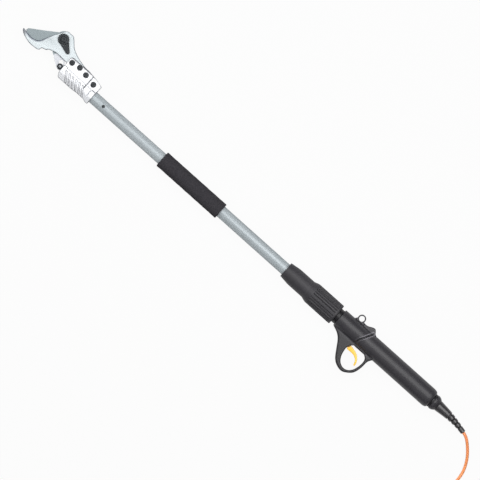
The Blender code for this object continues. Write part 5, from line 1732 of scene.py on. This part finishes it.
@dataclass
class TwistCollar(Assembly):
    """The ribbed twist collar and the handle's neck behind it."""

    front: float = -569.4
    rear: float = -719.0
    grip: float = TUBE_RADIUS + 11.5
    slim: float = TUBE_RADIUS + 7.8
    thread: float = TUBE_RADIUS + 3.0
    neck: float = TUBE_RADIUS + 4.3
    groove_depth: float = 1.3
    groove_half: float = 3.6
    groove_fade: float = 1.6
    groove_painted_shade: float = 0.7
    steps: int = 240
    # Where the ribs start and end along the tool
    ribs: Pair = (-649.0, -714.0)
    panels: int = 4
    panel_turn: float = 6.8
    # The grooves' angles from the middle of a panel, on both sides of it
    grooves: Triple = (10.8, 25.1, 39.4)

    def build(self) -> None:
        """Makes the collar and the neck."""
        self.make_collar()
        self.make_neck()

    def outside(self) -> Outline:
        """The collar's outer profile, from its cone to its rear rim.

        Returns:
            The points as (x, radius).
        """
        front, rear, grip, slim = self.front, self.rear, self.grip, self.slim
        outside = [(front, TUBE_RADIUS + 4.3), (front - 0.3, TUBE_RADIUS + 4.6)]
        outside += [(front - 1.4, TUBE_RADIUS + 4.8), (front - 22.0, slim - 0.3)]
        outside += [(front - 30.0, slim), (front - 64.0, slim), (front - 67.0, slim + 0.4)]
        outside += [(front - 74.0, grip - 0.9), (front - 77.5, grip - 0.1), (front - 79.0, grip)]
        (start, end), fade = self.ribs, self.groove_fade
        outside += [(start, grip), (start - fade / 2, grip), (start - fade, grip)]
        outside += [(start - fade + (end - start + 2 * fade) * i / 20, grip) for i in range(1, 20)]
        outside += [(end + fade, grip), (end + fade / 2, grip), (end, grip)]
        return outside + [(rear + 1.6, grip), (rear + 0.5, grip - 0.5), (rear, grip - 1.4)]

    def make_collar(self) -> None:
        """Turns the collar, presses the grooves between its ribs into it and paints shade in them."""
        thread = self.thread + GAP
        bore = TUBE_RADIUS + 2 * GAP
        collet = TUBE_RADIUS + 5.3 + GAP
        front = self.front
        inside = [(self.rear, thread), (front - 86.0, thread), (front - 86.0, collet)]
        inside += [(front - 69.0, collet), (front - 33.0, bore + 1.7), (front - 33.0, bore)]
        profile = self.outside() + inside + [(front, bore)]
        collar = self.bench.turned("ribbed_twist_collar", profile, steps=self.steps)
        self.bench.mark(collar, self.in_groove)
        self.fit(collar, MATT, "lock_collar", body=Body.COLLAR, angle=40)

    def in_groove(self, spot: Vector, normal: Vector) -> Pair:
        """Sinks the grooves between the ribs and paints shade in them, apart from the plain panels.

        Args:
            spot: a place on the collar
            normal: its normal, which changes nothing here

        Returns:
            The place's mark and its lift.
        """
        start, end = self.ribs
        if math.hypot(spot.y, spot.z) < self.grip - 0.5 or not end < spot.x < start:
            return 0.0, 0.0
        panel = 360 / self.panels
        angle = math.degrees(math.atan2(spot.y, spot.z)) - self.panel_turn
        apart = abs((angle + panel / 2) % panel - panel / 2)
        nearest = min(min(abs(apart - groove) for groove in self.grooves), self.groove_half)
        edge = min(start - spot.x, spot.x - end) / self.groove_fade
        share = math.cos(nearest / self.groove_half * math.pi / 2) * min(edge, 1.0)
        return self.groove_painted_shade * share, -self.groove_depth * share

    def make_neck(self) -> None:
        """Turns the handle's threaded neck, which the collar runs on."""
        front = self.front - 88.0
        bore, thread, neck = TUBE_RADIUS + GAP, self.thread, self.neck
        inner = HANDLE_FRONT - 8.0
        flange = neck + 0.6
        seen = self.rear - GAP
        low = HANDLE_FRONT + GAP
        profile = [(front, bore), (front, thread - 0.6), (front - 0.6, thread), (seen, thread)]
        profile += [(seen, neck - 0.5), (seen - 0.5, neck), (low + 0.5, neck), (low, neck - 0.5)]
        profile += [(low, thread), (inner, thread), (inner, flange), (inner - 4.0, flange)]
        profile += [(inner - 4.0, thread), (inner - 10.0, thread), (inner - 10.0, 9.0)]
        profile += [(-704.3, 9.0), (-704.3, bore)]
        self.fit(self.bench.turned("threaded_neck", profile), DARKENED_NYLON, "coupling_spigot")


# Handle


# The hinge's place from the handle's front face, and its pin's bore: both ends and the radius
TRIGGER_HINGE = (-52.8, 30.8)
TRIGGER_PIN = (-8.5, 8.5, 2.1)


def placed(*points: Point) -> Outline:
    """Moves points that are given from the handle's front face to their place."""
    return [(HANDLE_FRONT + x, y) for x, y in points]


@dataclass
class Handle(Assembly):
    """The moulded handle in two shells, with its guard, strap eye and thumb stop."""

    body_radius: float = 22.0
    grip_radius: float = 22.8
    body_length: float = 88.0
    cavity: float = 19.3
    neck_bore: float = TUBE_RADIUS + 3.0 + GAP
    guard_half: float = 10.0
    strap_hole: float = 6.4
    pocket_half: float = 6.6
    gland_bore: float = 9.0 + GAP
    # Half the width and half the height of the channel behind the cavity
    channel: Pair = (12.0, 14.0)
    eye: Point = (-38.7, -30.8)
    skin_grain: float = 0.8
    # The valley's course, from the handle's front face
    valley: tuple[Point, ...] = (
        (-80.0, -22.5),
        (-76.6, -15.5),
        (-71.3, -6.0),
        (-65.8, 4.6),
        (-62.5, 13.0),
        (-61.0, 19.0),
    )
    valley_reach: float = 12.0
    valley_depth: float = 1.5
    valley_width: float = 1.5
    valley_fade: float = 8.0
    lip: float = 0.9
    lip_place: float = 3.4
    lip_width: float = 1.25
    lowest: float = 5.0
    # The painted highlight line round the guard's hole: how far it lies from the hole and how wide it
    # is
    highlight_line: float = 3.0
    painted_rim_width: float = 0.9
    # The web's painted shade: where it starts, over what it grows, and how dark it is
    web_start: float = 23.0
    web_fade: float = 5.0
    web_painted_shade: float = 0.5
    # Each screw's place from the handle's front face, and the height of its seat
    screws: tuple[Triple, ...] = (
        (-29.5, 30.0, -5.0),
        (-80.2, 81.1, -5.0),
        (-106.0, 17.3, -9.0),
        (-170.0, -17.3, -9.0),
        (-232.0, 17.3, -9.0),
    )

    def build(self) -> None:
        """Moulds both shells and sets the five screws from below."""
        valley = smooth_line(placed(*self.valley), 6)
        self.line = [Vector(point) for point in valley]
        self.rim = [Vector(point) for point in self.finger_outline()]
        for name, side in (("upper", 1), ("lower", -1)):
            shell = self.make_shell(f"moulded_handle_{name}", side)
            self.fit(shell, MOULDED, f"handle_shell_{name}", angle=60)
        for number, (x, y, seat) in enumerate(self.screws, 1):
            pattern = SocketScrew(
                self.bench, head=(3.0, 2.2), shank=1.5, seat=seat, tip=6.0, socket=1.25
            )
            screw = pattern.make(f"handle_cap_screw_{number}", (HANDLE_FRONT + x, y))
            self.fit(screw, BLACKED, f"handle_screw_{number}")

    def guard_outline(self) -> Outline:
        """The finger guard's outer edge, closed inside the body.

        Returns:
            The closed outline.
        """
        edge = [(-3.0, 22.4), (-17.6, 28.8), (-28.6, 38.5), (-39.6, 55.0), (-52.3, 73.3)]
        edge += [(-65.0, 82.2), (-79.8, 85.3), (-93.0, 79.5), (-104.0, 68.4)]
        edge += [(-109.2, 50.0), (-110.4, 33.0), (-116.0, 22.4)]
        return placed((-3.5, 10.0), *smooth_line(edge), (-120.0, 10.0))

    def finger_outline(self) -> Outline:
        """The opening in the guard.

        Returns:
            The closed outline.
        """
        edge = [(-64.5, 25.2), (-58.2, 32.0), (-55.6, 44.0), (-59.2, 60.5), (-67.6, 72.2)]
        edge += [(-79.8, 77.0), (-91.6, 73.2), (-100.1, 61.5), (-104.0, 44.0)]
        return placed(*smooth_line([*edge, (-102.2, 32.0), (-95.0, 25.2)], 6))

    def eye_outline(self) -> Outline:
        """The strap eye's outline, closed inside the body.

        Returns:
            The closed outline.
        """
        base = [(-59.5, -12.0), (-59.5, -26.4), (-54.5, -27.2)]
        ring = arc(self.eye, 9.35, -200, 20, 28)
        return placed(*base, *ring, (-26.0, -22.0), (-21.0, -19.6), (-21.0, -12.0))

    def stop_outline(self) -> Outline:
        """The thumb stop's outline, closed inside the body.

        Returns:
            The closed outline.
        """
        crest = [(-56.0, -27.0), (-62.0, -28.8), (-70.6, -33.0), (-76.3, -33.4), (-80.6, -29.4)]
        base = [(-50.0, -12.0), (-50.6, -26.6)]
        return placed(*base, *smooth_line(crest), (-84.5, -24.6), (-91.0, -21.6), (-91.0, -12.0))

    def rounded(self, name: str, outline: Outline, half: float, rounding: float) -> Piece:
        """Makes a slab on the mid-plane with rounded rims.

        Args:
            name: the slab's name
            outline: its widest outline
            half: half of its thickness
            rounding: the rounding's radius

        Returns:
            The closed slab.
        """
        levels = []
        for angle in (0, 30, 60, 90):
            x, y = spoke((0.0, 0.0), rounding, angle)
            levels.append((rounding - half - x, inset(outline, rounding - y)))
        upper = [(-level, shape) for level, shape in reversed(levels)]
        return self.bench.stack(name, levels + upper)

    def flared_opening(self) -> Piece:
        """The finger space as a cutter that widens towards both faces.

        Returns:
            The cutter.
        """
        outline = self.finger_outline()
        half = self.guard_half
        wide, soft = inset(outline, -4.6), inset(outline, -0.9)
        levels = [(-half - 2, wide), (-half + 1.4, soft), (-half + 3.4, outline)]
        levels += [(half - 3.4, outline), (half - 1.4, soft), (half + 2, wide)]
        return self.bench.stack("finger_space", levels)

    def skin(self, spot: Vector, normal: Vector) -> Pair:
        """Presses the valley beside the thumb stop with painted shade in it and painted highlights on
        its lips, and paints the web's shade and the highlight line round its hole.

        Args:
            spot: a place on the shell
            normal: its normal, which changes nothing here

        Returns:
            The place's mark and its lift.
        """
        x, y, z = spot
        if y >= self.web_start:
            return self.web_mark(spot.xy, abs(z)), 0.0
        reach = self.valley_reach
        near = self.line[0].x - reach < x < self.line[-1].x + reach and abs(z) >= self.lowest
        if not near or math.hypot(y, z) < self.body_radius - 2.0:
            return 0.0, 0.0
        away = min((spot.xy - point).length for point in self.line)
        fade = min(1.0, max(0.0, (self.line[-1].y - y) / self.valley_fade))
        fade *= min(1.0, (abs(z) - self.lowest) / 2)
        valley = math.exp(-((away / self.valley_width) ** 2)) * fade
        lip = math.exp(-(((away - self.lip_place) / self.lip_width) ** 2)) * fade
        lift = self.lip * lip - self.valley_depth * valley
        # Painted shade in the valley, and a painted highlight on the lips beside it
        return 0.8 * valley - 0.9 * lip * self.lip_highlight_share(y), lift

    def lip_highlight_share(self, y: float) -> float:
        """Gives how strong a lip's painted highlight is: most beside the thumb stop, least by the
        guard.
        """
        return max(0.15, min(1.0, (8.0 - y) / 12.0))

    def web_mark(self, spot: Vector, height: float) -> float:
        """Paints shade on the guard's web, with a painted highlight line round its hole.

        Args:
            spot: a place on the web, from above
            height: how far it lies from the mid-plane

        Returns:
            The place's mark.
        """
        away = min((spot - point).length for point in self.rim) - self.highlight_line
        painted_highlight = math.exp(-((away / self.painted_rim_width) ** 2)) if height > 4.0 else 0.0
        return self.web_painted_shade * min(1.0, (spot.y - self.web_start) / self.web_fade) - 0.6 * painted_highlight

    def make_shell(self, name: str, side: int) -> Piece:
        """Moulds one shell: the round handle with all that stands on it, hollowed and parted.

        Args:
            name: the shell's name
            side: 1 for the upper shell and -1 for the lower

        Returns:
            The shell without a finish.
        """
        bench, quick = self.bench, Solver.QUICK
        shell = bench.turned(name, self.profile())
        guard = self.rounded("guard", self.guard_outline(), half=self.guard_half, rounding=3.4)
        eye = self.rounded("eye", self.eye_outline(), half=3.6, rounding=1.4)
        stop = self.rounded("stop", self.stop_outline(), half=7.0, rounding=2.6)
        bench.combine(shell, guard, eye, stop, way=Way.JOIN, solver=quick)
        low, high = sorted((side * GAP / 2, -side * FAR))
        other = bench.block((HANDLE_END - FAR, -2 * FAR, low), (HANDLE_FRONT + FAR, 2 * FAR, high))
        bench.combine(shell, *self.rooms(), other, solver=quick)
        bench.soften(shell, self.skin_grain, 5)
        return bench.mark(shell, self.skin)

    def profile(self) -> Outline:
        """The handle's round profile, with a soft rear end and a step up to the grip.

        Returns:
            The points as (x, radius).
        """
        end, front, grip, body = HANDLE_END, HANDLE_FRONT, self.grip_radius, self.body_radius
        seam = front - self.body_length
        profile = [(end, 0.0), (end, grip - 5.3), (end + 0.6, grip - 3.9), (end + 1.6, grip - 2.6)]
        profile += [(end + 3.0, grip - 1.5), (end + 5.0, grip - 0.8), (end + 8.0, grip - 0.2)]
        profile += [(end + 11.0, grip), (seam - 4.0, grip), (seam - 2.0, grip - 0.3), (seam, body)]
        profile += [(front - 1.5, body), (front - 0.4, body - 0.5), (front, body - 1.5)]
        return [*profile, (front, 0.0)]

    def rooms(self) -> list[Piece]:
        """All that is hollow: finger space, strap hole, trigger pocket, cavities and screw holes.

        Returns:
            The cutters.
        """
        bench, front, end = self.bench, HANDLE_FRONT, HANDLE_END
        step = front - 8.0 + GAP
        rear = front - self.body_length
        cavity = [(front + 5, 0.0), (front + 5, self.neck_bore), (step, self.neck_bore)]
        cavity += [(step, self.cavity), (rear, self.cavity), (rear, 0.0)]
        pocket = [(-38.0, 5.0), (-38.0, 31.0), (-42.5, 39.5), (-50.0, 43.5), (-58.5, 45.0)]
        pocket += [(-63.0, 33.0), (-66.5, 24.0), (-65.0, 5.0)]
        eye, hinge = placed(self.eye, TRIGGER_HINGE)
        wide, high = self.channel
        rooms = [
            self.flared_opening(),
            bench.rod(-FAR, FAR, self.strap_hole, eye),
            bench.slab("trigger_pocket", placed(*pocket), -self.pocket_half, self.pocket_half),
            bench.turned("cavity", cavity),
            bench.rod(end - 5, end + 14.0, self.gland_bore, axis=Axis.X, steps=FINE),
            bench.block((end + 12.0, -wide, -high), (rear + 2.0, wide, high)),
            bench.rod(*TRIGGER_PIN, hinge, steps=COARSE),
        ]
        for x, y, seat in self.screws:
            profile = [(-FAR, 0.0), (-FAR, 3.3), (seat + GAP, 3.3), (seat + GAP, 1.8)]
            profile += [(6.3, 1.8), (6.3, 0.0)]
            rooms.append(bench.turned("screw_hole", profile, Axis.Z, (front + x, y), COARSE))
        return rooms


@dataclass
class Trigger(Assembly):
    """The amber finger lever, with the rooms for its pin, its spring and its magnet."""

    magnet: Point = (-46.6, 10.2)
    magnet_floor: float = 3.3
    magnet_radius: float = 2.0
    half: float = 6.0
    hub: float = 5.5

    def build(self) -> None:
        """Makes the lever and dresses its pin, spring and magnet."""
        bench = self.bench
        lever = bench.slab("amber_finger_lever", self.outline(), -self.half, self.half)
        bench.bevel(lever, width=1.1, segments=4, angle=50)
        hinge, magnet = placed(TRIGGER_HINGE, self.magnet)
        spring = [(2.6, 3.7), (2.6, 7.4), (9.0, 7.4), (9.0, 3.7)]
        bench.combine(
            lever,
            bench.rod(*TRIGGER_PIN, hinge, steps=COARSE),
            bench.turned("spring_room", spring, Axis.Z, hinge, COARSE),
            bench.rod(
                -FAR, self.magnet_floor - self.half, self.magnet_radius, magnet, steps=COARSE
            ),
        )
        self.fit(lever, AMBER, "trigger", body=Body.TRIGGER, angle=35)
        self.dress(BRIGHT, "trigger_pin", "trigger_spring", "trigger_magnet")

    def outline(self) -> Outline:
        """The lever from its hub to its tip, with the arm that reaches into the handle.

        Returns:
            The closed outline.
        """
        upper = [(-61.6, 29.6), (-72.6, 31.9), (-82.1, 35.7), (-89.5, 42.3), (-94.1, 49.8)]
        tip = [(-95.2, 56.0), (-94.8, 57.8), (-93.4, 58.5), (-91.8, 57.4)]
        lower = [(-89.5, 49.7), (-85.0, 44.9), (-78.0, 41.3), (-68.8, 40.4), (-58.8, 40.9)]
        hub = arc(TRIGGER_HINGE, self.hub, 115, -20, 14)
        arm = [(-42.6, 14.0), (-43.6, 7.5), (-49.6, 7.5), (-49.6, 14.0)]
        back = arc(TRIGGER_HINGE, self.hub, 250, 200, 5)
        return placed(*smooth_line(upper), *tip, *smooth_line(lower), *hub, *arm, *back)


@dataclass
class CordEnd(Assembly):
    """The gland's faceted nut and the boot that eases the cord's first bend."""

    flange: float = 17.4
    thread: float = 9.0
    facets: int = 12
    groove: float = 0.82
    # Each rib's start and end behind the handle, and its radius
    ribs: tuple[Triple, ...] = (
        (54.8, 62.4, 8.9),
        (65.4, 72.8, 7.9),
        (75.8, 83.4, 7.0),
        (86.6, 99.1, 6.2),
    )

    def build(self) -> None:
        """Makes the gland's body, its nut and the boot."""
        self.make_body()
        self.make_nut()
        self.make_boot()

    def make_body(self) -> None:
        """Turns the gland's threaded body with its flange."""
        end, thread, flange = HANDLE_END, self.thread, self.flange
        inner = end + 13.7
        profile = [(inner, 0.0), (inner, thread - 0.5), (inner - 0.5, thread), (end - GAP, thread)]
        profile += [(end - GAP, flange - 0.4), (end - GAP - 0.4, flange), (end - 1.6, flange)]
        profile += [(end - 2.0, flange - 0.7), (end - 3.6, flange - 0.7), (end - 4.0, flange)]
        profile += [(end - 4.6, flange), (end - 5.0, flange - 0.4), (end - 5.0, thread)]
        profile += [(end - 12.0, thread), (end - 12.0, 0.0)]
        self.fit(self.bench.turned("gland_flange", profile), DARKENED_NYLON, "gland_body")

    def make_nut(self) -> None:
        """Makes the tapering nut with its flats."""
        end, bore = HANDLE_END, self.thread + GAP
        seat = end - 5.1
        rear = end - 17.9
        halves = (self.flange - 0.2, self.flange - 1.4, self.flange - 4.6)
        wide, middle, small = (polygon((0.0, 0.0), half, self.facets) for half in halves)
        levels = [(rear, small), (end - 13.0, middle), (end - 9.0, wide), (seat, wide)]
        nut = self.bench.stack("faceted_gland_nut", levels, Axis.X)
        self.bench.bevel(nut, width=0.4, segments=3, angle=12)
        profile = [(rear - 2, 0.0), (rear - 2, 4.0), (end - 12.3, 4.0), (end - 12.3, bore)]
        profile += [(seat + 2, bore), (seat + 2, 0.0)]
        self.bench.combine(nut, self.bench.turned("bore", profile))
        self.fit(nut, MOULDED, "gland_nut")

    def make_boot(self) -> None:
        """Turns the ribbed boot straight and then bends it along the cord's first stretch."""
        profile = [(18.0, 0.0), (18.0, 11.6), (18.4, 12.3), (19.2, 12.7), (24.0, 12.2), (30.0, 11.6)]
        profile += [(36.0, 11.0), (42.0, 10.4), (48.0, 9.8), (51.8, 9.45), (52.4, 9.2)]
        profile += [(52.7, 8.6), (52.8, 9.0 * self.groove)]
        for start, end, radius in self.ribs:
            low = radius * self.groove
            profile += [(start, low), (start + 0.1, radius - 0.5), (start + 0.6, radius)]
            steps = range(1, 4)
            profile += [(start + (end - start) * i / 4, radius * (1 - 0.01 * i)) for i in steps]
            profile += [(end - 0.6, radius * 0.96), (end - 0.1, radius * 0.96 - 0.5), (end, low)]
        length = self.ribs[-1][1]
        profile[-1:] = [(length, 5.0), (length, 0.0)]
        turned = [(HANDLE_END - distance, radius) for distance, radius in profile]
        boot = self.bench.turned("ribbed_cord_boot", turned, steps=64)
        # Painted shade in the grooves between the ribs
        self.bench.mark(boot, self.in_groove)
        self.bend(boot)
        self.fit(boot, RUBBER, "cord_boot", angle=40)

    def in_groove(self, spot: Vector, normal: Vector) -> Pair:
        """Paints shade on a place of the straight boot that lies in a groove.

        Args:
            spot: the place
            normal: its normal, which changes nothing here

        Returns:
            The place's mark, and no lift.
        """
        distance = HANDLE_END - spot.x
        tops = [top for start, end, top in self.ribs if start - 4 < distance < end + 0.01]
        deep = max(tops, default=0.0) * (self.groove + 0.02)
        return float(math.hypot(spot.y, spot.z) < deep), 0.0

    def bend(self, boot: Piece) -> None:
        """Lays the straight boot along the lead's curve.

        Args:
            boot: the straight boot
        """
        lead = Lead(self.bench)
        up = Vector((0.0, 0.0, 1.0))
        for corner in boot.data.vertices:
            place = (corner.co - self.bench.origin) / MM
            distance = HANDLE_END - place.x
            past = max(0.0, distance - lead.bend_start)
            side = Vector((-1.0, 2 * lead.bend * past, 0.0)).normalized().cross(up)
            centre = lead.boot_spot(distance)
            corner.co = self.bench.at(*(centre + side * place.y + up * place.z))


@dataclass
class InnerWorks(Assembly):
    """The CAD nodes that keep their own shape, with their finishes."""

    def build(self) -> None:
        """Dresses every kept node."""
        self.dress(PIN_STEEL, "crosshead")
        self.dress(BRIGHT, "drive_screw", "screw_bearing", "gearbox")
        self.dress(BRASS, "drive_nut")
        self.dress(BLACKED, "motor")
        self.dress(RUBBER, "motor_cable", "power_wire")
        self.dress(MOULDED, "collet")
        self.dress(BOARD, "control_board")


def tool_origin() -> Vector:
    """Finds the tool frame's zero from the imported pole, whose front end lies ahead of it."""
    low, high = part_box("pole_tube")
    return Vector((high.x - TUBE_FRONT * MM, (low.y + high.y) / 2, (low.z + high.z) / 2))


def main() -> None:
    """Builds the studio and every sub-assembly in order."""
    logging.basicConfig(level=logging.INFO, format="%(message)s")
    bench = Bench(tool_origin())
    bench.clear()
    Studio().build()
    parts = (Lead, CuttingHead, HeadHousing, Pole, TwistCollar, Handle, Trigger, CordEnd, InnerWorks)
    for part in parts:
        part(bench).build()


if __name__ == "__main__":
    main()
